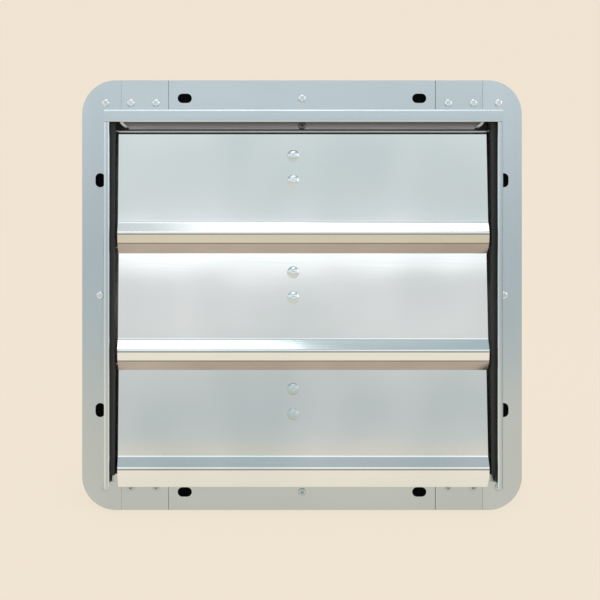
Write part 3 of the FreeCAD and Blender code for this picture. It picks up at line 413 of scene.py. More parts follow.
# Painted shade: a darker, duller sheet for the top stop rail in the shade of the collar's lip; the shaded
# copies below start from it
SHADED_DULL_SHEET = RolledSheet(
    "shaded_dull_sheet", (0.50, 0.475, 0.465), (0.45, 0.435, 0.43), (0.34, 0.42), streak_depth=0.000003,
    streak_tone=0.3, wave_depth=0.0002)
# Painted shade: the blades' rolled hems, darker than the panels
SHADED_HEM_SHEET = replace(SHADED_DULL_SHEET, name="shaded_hem", colour=(0.56, 0.585, 0.585), cloud=(0.50, 0.53, 0.53))
# Painted shade: a darker sheet on the right channel's rounded front edge
PAINTED_SHADE_EDGE = replace(
    SHADED_DULL_SHEET, name="painted_shade_edge", colour=(0.40, 0.47, 0.52), cloud=(0.36, 0.43, 0.47), gloss=(0.3, 0.38),
    grain=Grain.ALONG_Z)
# Painted shade: dark lines on the blades' press lines and on the corner plates' seams
PAINTED_SHADE_LINE = replace(
    SHADED_DULL_SHEET, name="painted_shade_line", colour=(0.30, 0.29, 0.255), cloud=(0.25, 0.24, 0.21), gloss=(0.2, 0.3),
    streak_tone=0.4)
# Painted shade: a darker brown-grey sheet on the last fold of the two upper lips
SHADED_FOLD_SHEET = RolledSheet(
    "shaded_fold_sheet", (0.55, 0.52, 0.505), (0.45, 0.415, 0.40), (0.12, 0.2), streak_depth=0.000003,
    streak_tone=0.4, cloud_scale=(12.0, 9.0))
# Painted shade: a dark rivet head for the top stop rail, in the shade of the collar's lip
SHADED_RAIL_RIVET = TurnedMetal("shaded_rail_rivet", (0.30, 0.31, 0.31), (0.14, 0.145, 0.145), (0.22, 0.34))
# Painted reflection: a cooler rivet copy for the two upper blades, against the shaded copy on the bottom
# blade
COOL_LIT_RIVET = TurnedMetal("cool_lit_rivet", (0.74, 0.82, 0.845), (0.62, 0.70, 0.73), (0.16, 0.26))
# Painted shade: a darker, rougher rivet copy for the bottom blade and the flange's lower rivets
SHADED_LOWER_RIVET = TurnedMetal("shaded_lower_rivet", (0.58, 0.67, 0.69), (0.50, 0.59, 0.61), (0.36, 0.46))
# Painted shade: near-black in the crease below each blade's hem
CREASE_SHADE_COATING = Coating("crease_shade_coating", (0.018, 0.018, 0.017), (0.045, 0.043, 0.04), (0.75, 0.9), shine=0.1)
# Black foam gasket, so black that it also stands in for the shade seen through the flange's slots
SLOT_SHADE_FOAM = Coating("black_slot_shade_foam", (0.002, 0.002, 0.002), (0.005, 0.005, 0.005), (0.85, 0.95), 700.0, 0.0002, 0.06)


@dataclass(frozen=True)
class Bend:
    """A straight bend of the frame's sheet and the round that it gets, in millimetres.

    A level bend runs along X at a height, and an upright one along Z at a distance from the middle.
    """

    along: Grain
    side: float
    depth: float
    radius: float
    segments: int
    mark: Mark = Mark.KEPT
    near: float = 0.1
    straightness: float = 0.98

    def holds(self, edge: BMEdge) -> bool:
        """Whether an edge lies on the bend's line.

        Args:
            edge: Edge to test.

        Returns:
            True if it runs along the bend and its middle is near it.
        """
        first, second = (vert.co / MM for vert in edge.verts)
        run = second - first
        middle = (first + second) / 2
        across = Grain.ALONG_X.value if self.along is Grain.ALONG_Z else Grain.ALONG_Z.value
        straight = abs(run[self.along.value]) > self.straightness * run.length
        return straight and max(abs(middle[across] - self.side), abs(middle.y - self.depth)) <= self.near


def spot(x: float, y: float, z: float) -> Matrix:
    """Shift from the origin to a place in millimetres."""
    return Matrix.Translation(Vector((x, y, z)) * MM)


def sharp_edges(bm: BMesh, degrees: float) -> list[BMEdge]:
    """Edges whose two faces turn by more than an angle in degrees."""
    limit = math.radians(degrees)
    return [e for e in bm.edges if len(e.link_faces) == 2 and e.calc_face_angle(0.0) > limit]


def new_verts(result: dict[str, list], key: str = "geom") -> list[BMVert]:
    """Vertices among what a mesh operator returned."""
    return [item for item in result[key] if isinstance(item, BMVert)]


def round_edges(bm: BMesh, edges: Sequence[BMEdge], width: float, segments: int,
                mark: Mark = Mark.KEPT) -> None:
    """Bevel the edges to a round.

    Args:
        bm: Mesh to change.
        edges: Edges to round.
        width: Width of the round in millimetres.
        segments: Facets across it.
        mark: Finish of the new faces; KEPT is that of their neighbours.
    """
    if edges:
        bmesh.ops.bevel(bm, geom=list(edges), offset=width * MM, offset_type="OFFSET", segments=segments,
                        profile=0.5, affect="EDGES", clamp_overlap=False, material=mark)


def bar(size: Point3, width: float, segments: int = 2) -> BMesh:
    """Make a block with rounded edges round the origin.

    Args:
        size: Its three sides in millimetres.
        width: Width of the rounds in millimetres.
        segments: Facets across a round.

    Returns:
        A closed mesh.
    """
    bm = bmesh.new()
    bmesh.ops.create_cube(bm, size=MM)
    bmesh.ops.scale(bm, vec=size, verts=bm.verts[:])
    round_edges(bm, bm.edges[:], width, segments)
    return bm


def turned(profile: Profile, steps: int = 32, ring: bool = False) -> BMesh:
    """Spin a profile right round the Y axis.

    Args:
        profile: Radius and height along Y of each corner, in millimetres, from axis to axis or round a ring.
        steps: Facets round the axis.
        ring: Whether the profile's last corner joins its first.

    Returns:
        A closed mesh with its faces outwards.
    """
    bm = bmesh.new()
    verts = [bm.verts.new((radius * MM, height * MM, 0.0)) for radius, height in profile]
    for first, second in zip(verts, verts[1:]):
        bm.edges.new((first, second))
    if ring:
        bm.edges.new((verts[-1], verts[0]))
    bmesh.ops.spin(bm, geom=bm.verts[:] + bm.edges[:], cent=(0, 0, 0), axis=(0, 1, 0), angle=math.tau,
                   steps=steps, use_merge=True, use_duplicate=False)
    bmesh.ops.remove_doubles(bm, verts=bm.verts[:], dist=SPIN_MERGE)
    bmesh.ops.recalc_face_normals(bm, faces=bm.faces[:])
    return bm


def copies(source: BMesh, places: Iterable[Matrix], onto: BMesh | None = None) -> BMesh:
    """Put a copy of a mesh at each place, then free it.

    Args:
        source: Mesh to copy.
        places: Where the copies go.
        onto: Mesh that takes them, or None for a new one.

    Returns:
        The mesh that holds the copies.
    """
    target = bmesh.new() if onto is None else onto
    pattern = bpy.data.meshes.new("pattern")
    source.to_mesh(pattern)
    source.free()
    for place in places:
        before = set(target.verts)
        target.from_mesh(pattern)
        bmesh.ops.transform(target, matrix=place, verts=[v for v in target.verts if v not in before])
    bpy.data.meshes.remove(pattern)
    return target


def put(name: str, data: bpy.types.ID) -> Object:
    """Put a new object into the scene.

    Args:
        name: Name of the object.
        data: Its mesh, lamp or camera.

    Returns:
        The object, at the origin.
    """
    thing = bpy.data.objects.new(name, data)
    bpy.context.scene.collection.objects.link(thing)
    return thing


def smooth_object(bm: BMesh, name: str, material: Material) -> Object:
    """Make a smooth-shaded object from a mesh, which is freed.

    Args:
        bm: The mesh.
        name: Name of the object.
        material: Its first material.

    Returns:
        The object, at the origin.
    """
    mesh = bpy.data.meshes.new(name)
    bm.to_mesh(mesh)
    bm.free()
    mesh.shade_smooth()
    mesh.materials.append(material)
    return put(name, mesh)


@dataclass
class Workshop:
    """Turns meshes and softened copies of CAD nodes into finished pieces; angles are in degrees."""

    materials: dict[str, Material] = field(default_factory=dict)
    slots: dict[str, str] = field(default_factory=dict)
    made: list[Object] = field(default_factory=list)
    merge: float = 2e-6
    flat_angle: float = 0.5
    bend_angle: float = 60.0
    edge_angle: float = 40.0
    eased_facets: int = 2

    def extra(self, finish: Finish) -> Material:
        """Material of a finish that belongs to no slot, made once."""
        return self.materials.get(finish.name) or self.materials.setdefault(finish.name, finish.make())

    def open(self) -> None:
        """Make every finish, and dress each CAD node in the finish of its slot."""
        self.materials = {slot: finish.make() for slot, finish in FINISHES.items()}
        for entry in frame["record"]["subparts"]:
            self.slots[entry["node"]] = entry["material_slot"]
            mesh = frame["nodes"][entry["node"]].data
            mesh.materials.clear()
            mesh.materials.append(self.materials[entry["material_slot"]])

    def add(self, bm: BMesh, name: str, slot: str, body: str = "frame", smooth: float = 35.0) -> Object:
        """Make a piece from a mesh and set it on a body.

        Args:
            bm: The piece's mesh, which is freed.
            name: Name of the piece.
            slot: Material slot of the record that it takes its finish from.
            body: CAD body that it rides on.
            smooth: Largest angle across which shading stays smooth.

        Returns:
            The finished object.
        """
        piece = smooth_object(bm, name, self.materials[slot])
        piece.data.set_sharp_from_angle(angle=math.radians(smooth))
        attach(piece, body)
        self.made.append(piece)
        return piece

    def finish(self, bm: BMesh, name: str, nodes: Sequence[str], smooth: float = 35.0) -> Object:
        """Make a piece that stands for CAD nodes of one body, with the first one's slot."""
        piece = self.add(bm, name, self.slots[nodes[0]], frame["nodes"][nodes[0]]["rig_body"], smooth)
        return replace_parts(piece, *nodes)

    def soften(self, node: str, width: float = 0.0, bends: Sequence[Bend] = ()) -> Object:
        """Copy a CAD node with its bends rounded and its sharp edges eased.

        Args:
            node: CAD node to copy and replace.
            width: Width of the eased edges in millimetres; 0 leaves them.
            bends: Sheet bends that get a larger round first.

        Returns:
            The finished object.
        """
        bm = bmesh.new()
        bm.from_mesh(frame["nodes"][node].data)
        bmesh.ops.remove_doubles(bm, verts=bm.verts[:], dist=self.merge)
        bmesh.ops.dissolve_limit(
            bm, angle_limit=math.radians(self.flat_angle), use_dissolve_boundaries=False,
            verts=bm.verts[:], edges=bm.edges[:], delimit=set())
        for bend in bends:
            held = [e for e in sharp_edges(bm, self.bend_angle) if bend.holds(e)]
            round_edges(bm, held, bend.radius, bend.segments, bend.mark)
        if width:
            round_edges(bm, sharp_edges(bm, self.edge_angle), width, self.eased_facets)
        return self.even(self.finish(bm, node + "_piece", [node]))

    def even(self, piece: Object) -> Object:
        """Keep flat faces flat in the shading beside rounded edges."""
        piece.modifiers.new("even_shading", "WEIGHTED_NORMAL").keep_sharp = True
        return piece


@dataclass
class ShutterFrame:
    """Flange and collar: bent channels, corner plates, stop rails and the flange's blind rivets."""

    shop: Workshop
    edge: float = 0.07
    half_w: float = 166.5
    half_h: float = 156.5
    front: float = -22.0
    sheet: float = 1.2
    outer_round: float = 1.5
    outer_facets: int = 4
    inner_round: float = 0.5
    inner_facets: int = 2
    foot_facets: int = 3
    lip_edge: Point2 = (162.0, 146.0)
    lip_round: float = 1.0
    lip_facets: int = 3
    seam_x: float = 113.7
    seam_round: float = 0.35
    seam_facets: int = 2
    mitre_size: Point3 = (8.4, 1.6, 3.0)
    mitre_spot: Point3 = (151.8, -2.7, 145.2)
    mitre_round: float = 0.5
    mitre_facets: int = 3
    mitre_tilt: float = 17.0
    # Outline of a black strip that stands in for the shadow below and beside the top rail
    shadow_strip_line: Profile = (
        (157.8, 139.4), (157.8, 154.9), (153.6, 154.9), (153.6, 148.2), (147.6, 142.2), (147.6, 141.5))
    shadow_strip_span: Point2 = (-2.3, -1.25)
    foot_size: Point3 = (3.2, 14.6, 6.35)
    foot_spot: Point3 = (163.6, -8.7, -153.175)
    foot_round: float = 0.4
    rivet_x: tuple[float, ...] = (167.6, 146.1, 124.6)
    rivet_z: float = 163.85
    rivet_mid_x: float = 172.1
    rivet_mid_z: float = 167.85
    rivet_profile: Profile = (
        (0.0, -0.45), (0.4, -0.42), (0.55, -0.15), (0.75, 0.0), (1.5, -0.98), (1.65, -1.13), (1.95, -1.18),
        (2.5, -1.08), (2.95, -0.84), (3.25, -0.45), (3.4, 0.0), (1.6, 0.0), (1.6, 2.4), (0.0, 2.4))
    shaded_below: float = -100.0
    gasket_half: Point2 = (181.5, 177.0)
    gasket_width: float = 18.5
    gasket_corner: float = 22.8
    gasket_facets: int = 10
    gasket_depth: float = 1.5

    def build(self) -> None:
        """Round the bends of the sheet pieces, then end the rails, set the rivets and lay the gasket."""
        self.bend_channels()
        for name in ("housing_flange", "bottom_stop_rail"):
            self.shop.soften(name, self.edge)
        seams = []
        for x in (-self.seam_x, self.seam_x):
            seam = Bend(Grain.ALONG_Z, x, -2 * self.sheet, self.seam_round, self.seam_facets, Mark.SECOND)
            seams.append(seam)
        # Painted shade: the seams' rounds get a dark line
        plates = self.shop.soften("corner_plates", self.edge, seams)
        plates.data.materials.append(self.shop.extra(PAINTED_SHADE_LINE))
        # Painted shade: the top stop rail is darker, in the shade of the collar's lip
        self.shop.soften("top_stop_rail", self.edge).data.materials[0] = self.shop.extra(SHADED_DULL_SHEET)
        self.end_top_rail()
        self.foot_rails()
        self.set_rivets()
        self.lay_gasket()

    def bend_channels(self) -> None:
        """Round the channels' bends; front edges and lips get a painted highlight, the right front edge
        painted shade.
        """
        wide, high = self.lip_edge
        for name, along, at, lip, mark in (
                ("left_channel", Grain.ALONG_Z, -self.half_w, -wide, Mark.SECOND),
                ("right_channel", Grain.ALONG_Z, self.half_w, wide, Mark.THIRD),
                ("top_channel", Grain.ALONG_X, self.half_h, high, Mark.SECOND),
                ("bottom_channel", Grain.ALONG_X, -self.half_h, None, Mark.SECOND)):
            inside = at - math.copysign(self.sheet, at)
            bends = [Bend(along, at, self.front, self.outer_round, self.outer_facets, mark),
                     Bend(along, inside, self.front + self.sheet, self.inner_round, self.inner_facets),
                     Bend(along, at, -2 * self.sheet, self.inner_round, self.foot_facets)]
            if lip:
                bends.append(Bend(along, lip, self.front, self.lip_round, self.lip_facets, Mark.SECOND))
            materials = self.shop.soften(name, self.edge, bends).data.materials
            # Painted highlight on the rounds marked SECOND
            materials.append(self.shop.extra(PAINTED_HIGHLIGHT_EDGE))
            if along is Grain.ALONG_Z:
                materials[0] = self.shop.extra(UPRIGHT_SHEET)
                # Painted shade for the right front edge, marked THIRD
                materials.append(self.shop.extra(PAINTED_SHADE_EDGE))

    def end_top_rail(self) -> None:
        """Put bright folded mitres on the top rail's cut ends, and a black painted-shadow strip below and
        beside it.
        """
        x, y, z = self.mitre_spot
        tilt = Matrix.Rotation(math.radians(self.mitre_tilt), 4, "X")
        turns = [Matrix.Rotation(-side * QUARTER / 2, 4, "Y") for side in SIDES]
        places = [spot(side * x, y, z) @ tilt @ turn for side, turn in zip(SIDES, turns)]
        mitres = copies(bar(self.mitre_size, self.mitre_round, self.mitre_facets), places)
        self.shop.even(self.shop.add(mitres, "rail_mitres", "frame_aluminium"))
        shadow_strip = bmesh.new()
        near, far = self.shadow_strip_span
        line = list(self.shadow_strip_line) + [(-x, z) for x, z in reversed(self.shadow_strip_line)]
        face = shadow_strip.faces.new([shadow_strip.verts.new(Vector((x, near, z)) * MM) for x, z in line])
        grown = bmesh.ops.extrude_face_region(shadow_strip, geom=[face])
        bmesh.ops.translate(shadow_strip, vec=(0, (far - near) * MM, 0), verts=new_verts(grown))
        bmesh.ops.recalc_face_normals(shadow_strip, faces=shadow_strip.faces[:])
        self.shop.add(shadow_strip, "top_rail_shadow_strip", "black_plastic")

    def foot_rails(self) -> None:
        """Put black feet below the pivot rails, which fill the gap beside the sill's ends."""
        x, y, z = self.foot_spot
        feet = copies(bar(self.foot_size, self.foot_round), [spot(side * x, y, z) for side in SIDES])
        self.shop.even(self.shop.add(feet, "rail_feet", "black_plastic"))

    def set_rivets(self) -> None:
        """Set blind rivets, pulled stems sunk in the heads; the lower ones take a painted-shade darker copy.
        """
        face = -2 * self.sheet
        places = [(0.0, self.rivet_mid_z), (0.0, -self.rivet_mid_z)]
        places += [(self.rivet_mid_x, 0.0), (-self.rivet_mid_x, 0.0)]
        places += [(sx * x, sz * self.rivet_z) for sx in SIDES for sz in SIDES for x in self.rivet_x]
        bm = copies(turned(self.rivet_profile), [spot(x, face, z) for x, z in places])
        # Painted shade: rivets below a height take the darker copy
        for head in bm.faces:
            head.material_index = int(head.calc_center_median().z < self.shaded_below * MM)
        heads = self.shop.finish(bm, "flange_rivet_heads", ["flange_rivets"])
        heads.data.materials.append(self.shop.extra(SHADED_LOWER_RIVET))
        low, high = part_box("rail_rivet")
        bm = turned(self.rivet_profile)
        bmesh.ops.translate(bm, vec=Vector((0, face * MM, (low.z + high.z) / 2)), verts=bm.verts[:])
        head = self.shop.finish(bm, "rail_rivet_head", ["rail_rivet"])
        # Painted shade: the rail's rivet is dark, in the shade of the collar's lip
        head.data.materials[0] = self.shop.extra(SHADED_RAIL_RIVET)

    def lay_gasket(self) -> None:
        """Lay thin black foam on the wall side of the flange; it closes the slots until screws pierce it."""
        bm = bmesh.new()
        bmesh.ops.create_grid(bm, x_segments=1, y_segments=1, size=MM)
        bmesh.ops.scale(bm, vec=(*self.gasket_half, 1), verts=bm.verts[:])
        bmesh.ops.rotate(bm, cent=(0, 0, 0), matrix=Matrix.Rotation(-QUARTER, 3, "X"), verts=bm.verts[:])
        bmesh.ops.bevel(bm, geom=bm.verts[:], offset=self.gasket_corner * MM, offset_type="OFFSET",
                        segments=self.gasket_facets, profile=0.5, affect="VERTICES", material=-1)
        middle = bm.faces[:]
        bmesh.ops.inset_region(
            bm, faces=middle, thickness=self.gasket_width * MM, use_boundary=True, use_even_offset=True)
        bmesh.ops.delete(bm, geom=middle, context="FACES")
        bmesh.ops.recalc_face_normals(bm, faces=bm.faces[:])
        bmesh.ops.solidify(bm, geom=bm.faces[:], thickness=-self.gasket_depth * MM)
        bmesh.ops.recalc_face_normals(bm, faces=bm.faces[:])
        drop = min(v.co.y for v in bm.verts)
        bmesh.ops.translate(bm, vec=(0, -drop, 0), verts=bm.verts[:])
        # The foam's near-black tone also paints the shade seen through the slots
        self.shop.add(bm, "wall_gasket", "lead_rubber").data.materials[0] = self.shop.extra(SLOT_SHADE_FOAM)


@dataclass
class Blade:
    """One louvre blade with its pivot pins and rivets; drops are measured down from its hinge line.

    The kinds of its lip are those of the last fold, the press line above it and the middle fold. The tilts
    are the slopes in degrees up to which they and the upper press line reach.
    """

    shop: Workshop
    name: str
    pivot: Vector
    # Each lip kind is a painted shade or painted reflection finish
    lip: tuple[BladeFace, BladeFace, BladeFace]
    rivet: TurnedMetal
    half_width: float = 155.5
    thickness: float = 0.8
    hem_radius: float = 1.0
    hem_spot: Point2 = (0.6, 0.4)
    hem_turn: float = 250.0
    hem_facets: int = 16
    hem_drop: float = 2.4
    shaded_crease_spot: Point2 = (0.45, 0.35)
    back_line: Profile = (
        (-2.2, -0.6), (-2.2, 0.8), (-0.24, 2.9), (5.71, 77.11), (10.58, 86.06), (9.23, 94.50),
        (3.10, 102.73))
    fold_angle: float = 14.0
    fold_drop: float = 50.0
    fold_round: float = 1.3
    fold_facets: int = 6
    crease_round: float = 0.4
    crease_facets: int = 3
    smooth: float = 40.0
    lip_drop: float = 80.0
    # The upper press line gets a painted shade line
    lip_tilts: tuple[float, ...] = (-27.0, -18.0, -8.0, 3.5)
    pin_radii: Point2 = (0.5, 2.0)
    pin_ends: Point2 = (150.0, 157.7)
    pin_chamfer: float = 0.3
    rivet_x: float = -8.0
    rivet_drops: Point2 = (21.0, 42.0)
    rivet_profile: Profile = (
        (0.0, -1.30), (0.6, -1.34), (1.05, -1.5), (1.5, -1.56), (2.4, -1.42), (3.4, -1.14), (4.2, -0.77),
        (4.8, -0.36), (5.0, 0.0), (2.4, 0.0), (2.4, 2.4), (3.6, 2.4), (3.5, 3.0), (2.7, 3.6), (0.0, 3.8))

    def fold(self) -> None:
        """Roll the hem, draw the panel down to its folded lip, and stretch it across the opening."""
        bm = bmesh.new()
        turn = math.radians(self.hem_turn)
        edge = Vector((-self.half_width * MM, self.pivot.y, self.pivot.z))
        roll = edge - Vector((0, *self.hem_spot)) * MM
        start = bm.verts.new(roll + Vector((0, math.cos(turn), math.sin(turn))) * self.hem_radius * MM)
        spun = bmesh.ops.spin(bm, geom=[start], cent=roll, axis=(1, 0, 0), angle=QUARTER - turn,
                              steps=self.hem_facets, use_duplicate=False)
        last = new_verts(spun, "geom_last")[0]
        for out, drop in self.back_line:
            last = bmesh.ops.extrude_vert_indiv(bm, verts=[last])["verts"][0]
            last.co = edge - Vector((0, out, drop)) * MM
        swept = bmesh.ops.extrude_edge_only(bm, edges=bm.edges[:])
        bmesh.ops.translate(bm, vec=(2 * self.half_width * MM, 0, 0), verts=new_verts(swept))
        bmesh.ops.recalc_face_normals(bm, faces=bm.faces[:])
        panel = max(bm.faces, key=lambda face: face.calc_area())
        if panel.normal.y < 0:
            bmesh.ops.reverse_faces(bm, faces=bm.faces[:])
        bends = sharp_edges(bm, self.fold_angle)
        folds = [e for e in bends if e.verts[0].co.z < self.pivot.z - self.fold_drop * MM]
        creases = [e for e in bends if e not in folds]
        round_edges(bm, folds, self.fold_round, self.fold_facets)
        round_edges(bm, [e for e in creases if e.is_valid], self.crease_round, self.crease_facets)
        bmesh.ops.solidify(bm, geom=bm.faces[:], thickness=self.thickness * MM)
        bm.normal_update()
        for face in bm.faces:
            face.material_index = self.face_kind(face)
        blade = self.shop.finish(bm, self.name + "_blade", [self.name + "_louver"], self.smooth)
        # The hem, crease, press-line and lip finishes carry painted shade and painted reflection
        for finish in (SHADED_HEM_SHEET, CREASE_SHADE_COATING, PAINTED_SHADE_LINE, SHADED_FOLD_SHEET, BRIGHT_REFLECTION_LIP, TAN_REFLECTION_LIP):
            blade.data.materials.append(self.shop.extra(finish))
        self.shop.even(blade)

    def face_kind(self, face: BMFace) -> BladeFace:
        """Choose the finish of a face by its place and its slope.

        The hem is painted darker than the panel as shade, and painted shade fills the crease below it.

        Args:
            face: Face of the blade.

        Returns:
            The kind of face.
        """
        back, height = ((face.calc_center_median() - self.pivot) / MM).yz
        in_front = face.normal.y < 0
        if height > -self.hem_drop:
            in_shaded_crease = in_front and back > -self.shaded_crease_spot[0] and height < -self.shaded_crease_spot[1]
            return BladeFace.SHADED_CREASE if in_shaded_crease else BladeFace.HEM
        if in_front and height < -self.lip_drop:
            tilt = math.degrees(math.asin(face.normal.z))
            for limit, kind in zip(self.lip_tilts, (*self.lip, BladeFace.SHADE_LINE)):
                if tilt < limit:
                    return kind
        return BladeFace.PANEL

    def turn_pins(self) -> None:
        """Turn stepped pins, thin inside the rolled hem and full size in the bushes."""
        thin, full = self.pin_radii
        start, step = self.pin_ends
        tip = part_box(self.name + "_pivot_pins")[1].x / MM
        profile = ((0.0, start), (thin, start), (thin, step), (full, step), (full, tip - self.pin_chamfer),
                   (full - self.pin_chamfer, tip), (0.0, tip))
        middle = Matrix.Translation((0, self.pivot.y, self.pivot.z))
        pins = copies(turned(profile), [middle @ Matrix.Rotation(side * QUARTER, 4, "Z") for side in SIDES])
        self.shop.finish(pins, self.name + "_stepped_pins", [self.name + "_pivot_pins"])

    def set_rivets(self) -> None:
        """Set round-headed rivets through the panel, with their upset tails on the bracket behind."""
        (out0, drop0), (out1, drop1) = self.back_line[2:4]
        slope = (out1 - out0) / (drop1 - drop0)
        lean = Matrix.Rotation(-math.atan(slope), 4, "X")
        places = []
        for drop in self.rivet_drops:
            out = out0 + slope * (drop - drop0) + self.thickness
            places.append(Matrix.Translation(self.pivot) @ spot(self.rivet_x, -out, -drop) @ lean)
        heads = copies(turned(self.rivet_profile), places)
        domes = self.shop.finish(heads, self.name + "_rivet_domes", [self.name + "_blade_rivets"])
        domes.data.materials[0] = self.shop.extra(self.rivet)


@dataclass
class Shutter:
    """The three blades, and the tie bar, brackets and rails that link and carry them.

    Painted shade darkens the two upper lips' last folds, and painted reflections brighten the lowest lip.
    """

    shop: Workshop
    link_edge: float = 0.3
    rail_edge: float = 0.5

    def build(self) -> None:
        """Build the blades from top to bottom, each with its link, then ease the bar and the rails."""
        pivots = {joint["child"]: Vector(joint["pos_m"]) for joint in frame["joints"]}
        # Painted shade for the upper lips' last fold and the press line above it
        upper_lip_shades = (BladeFace.SHADED_FOLD, BladeFace.SHADE_LINE)
        # The rivet copies by blade are painted light: cooler on the upper blades, shaded on the bottom one
        for name, lip, rivet in (
                ("top", (*upper_lip_shades, BladeFace.TAN_REFLECTION), COOL_LIT_RIVET),
                ("middle", (*upper_lip_shades, BladeFace.BRIGHT_REFLECTION), COOL_LIT_RIVET),
                ("bottom", (BladeFace.BRIGHT_REFLECTION,) * 3, SHADED_LOWER_RIVET)):
            blade = Blade(self.shop, name, pivots[name + "_louver"], lip, rivet)
            blade.fold()
            blade.set_rivets()
            self.shop.soften(name + "_link_bracket", self.link_edge)
            blade.turn_pins()
            self.shop.soften(name + "_link_pin", self.link_edge)
        self.shop.soften("tie_bar", self.link_edge)
        for name in ("left_pivot_rail", "right_pivot_rail", "pivot_bushes"):
            self.shop.soften(name, self.rail_edge)


@dataclass
class AirSleeve:
    """Sleeve panels, the orifice plate with its bell mouth, and the wire guard.

    Each panel has the axis that its welds run along, and the turn about it that sets them facing outwards.
    """

    shop: Workshop
    edge: float = 0.25
    panels: tuple[tuple[str, str, float], ...] = (
        ("sleeve_top", "X", QUARTER), ("sleeve_bottom", "X", -QUARTER), ("sleeve_left", "Z", QUARTER),
        ("sleeve_right", "Z", -QUARTER))
    weld_rows: Point2 = (9.0, 80.0)
    weld_margin: float = 16.0
    weld_count: int = 6
    weld_profile: Profile = (
        (0.0, 0.14), (1.3, 0.14), (1.9, 0.32), (2.5, 0.3), (3.0, 0.1), (3.2, -0.3), (0.0, -0.3))
    weld_facets: int = 20

    def build(self) -> None:
        """Ease the sheet edges and smooth the guard's wire."""
        for name, _, _ in self.panels:
            self.shop.soften(name, self.edge)
        self.shop.soften("orifice_plate", self.edge)
        self.shop.soften("rear_guard")
        self.shop.soften("panel_screws", self.edge)
        self.spot_weld()

    def spot_weld(self) -> None:
        """Set two rows of small weld buttons on the outside of each sleeve panel."""
        places = []
        for name, axis, turn in self.panels:
            low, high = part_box(name)
            middle = (low + high) / 2
            run, out = (0, 2) if axis == "X" else (2, 0)
            half = (high[run] - low[run]) / 2 - self.weld_margin * MM
            for row in self.weld_rows:
                for step in range(self.weld_count):
                    centre = Vector((0, low.y + row * MM, 0))
                    centre[run] = middle[run] - half + 2 * half * step / (self.weld_count - 1)
                    centre[out] = high[out] if middle[out] > 0 else low[out]
                    places.append(Matrix.Translation(centre) @ Matrix.Rotation(turn, 4, axis))
        welds = copies(turned(self.weld_profile, self.weld_facets), places)
        self.shop.add(welds, "spot_welds", "galvanised_steel")


@dataclass
class FanAndMotor:
    """Fan wheel on its hub, and the closed motor with its carrier."""

    shop: Workshop
    edge: float = 0.4
    nodes: tuple[str, ...] = (
        "fan_wheel", "fan_hub", "hub_rivets", "hub_set_screw", "motor_shaft", "rotor_core",
        "motor_front_bell", "motor_can", "motor_rear_bell", "motor_plate", "left_motor_strap",
        "right_motor_strap", "strap_bolts", "motor_studs", "motor_bearings")
    cap_profile: Profile = (
        (0.0, 1.6), (4.2, 1.7), (4.6, 2.4), (9.5, 2.3), (10.4, 1.8), (10.8, 0.9), (15.2, 0.7), (15.9, 0.2),
        (16.0, -0.5), (0.0, -0.5))
    cap_facets: int = 48
    ribs: int = 6
    rib_size: Point3 = (2.6, 2.4, 21.0)
    rib_radius: float = 28.5
    bead_profile: Profile = ((44.6, -2.2), (45.2, -1.7), (45.7, -0.7), (45.7, 0.7), (45.2, 1.7), (44.6, 2.2))
    bead_facets: int = 96
    bead_smooth: float = 60.0
    bead_in: float = 7.0

    def build(self) -> None:
        """Ease the edges of the rotor and the motor's shells, then add the cast and rolled forms."""
        for name in self.nodes:
            self.shop.soften(name, self.edge)
        self.cast_rear_bell()
        self.bead_can()

    def cast_rear_bell(self) -> None:
        """Put a bearing cap in the middle of the rear bell and cast ribs between its vents."""
        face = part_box("motor_rear_bell")[1].y
        up = spot(0, 0, self.rib_radius)
        turns = [math.tau * (i + 0.5) / self.ribs for i in range(self.ribs)]
        bm = copies(bar(self.rib_size, self.edge), [Matrix.Rotation(turn, 4, "Y") @ up for turn in turns],
                    turned(self.cap_profile, self.cap_facets))
        bmesh.ops.translate(bm, vec=(0, face, 0), verts=bm.verts[:])
        self.shop.add(bm, "rear_bell_cast", "motor_paint")

    def bead_can(self) -> None:
        """Roll beads round the motor's can."""
        low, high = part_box("motor_can")
        places = [spot(0, y, 0) for y in (low.y / MM + self.bead_in, high.y / MM - self.bead_in)]
        beads = copies(turned(self.bead_profile, self.bead_facets, ring=True), places)
        self.shop.add(beads, "can_beads", "motor_paint", smooth=self.bead_smooth)


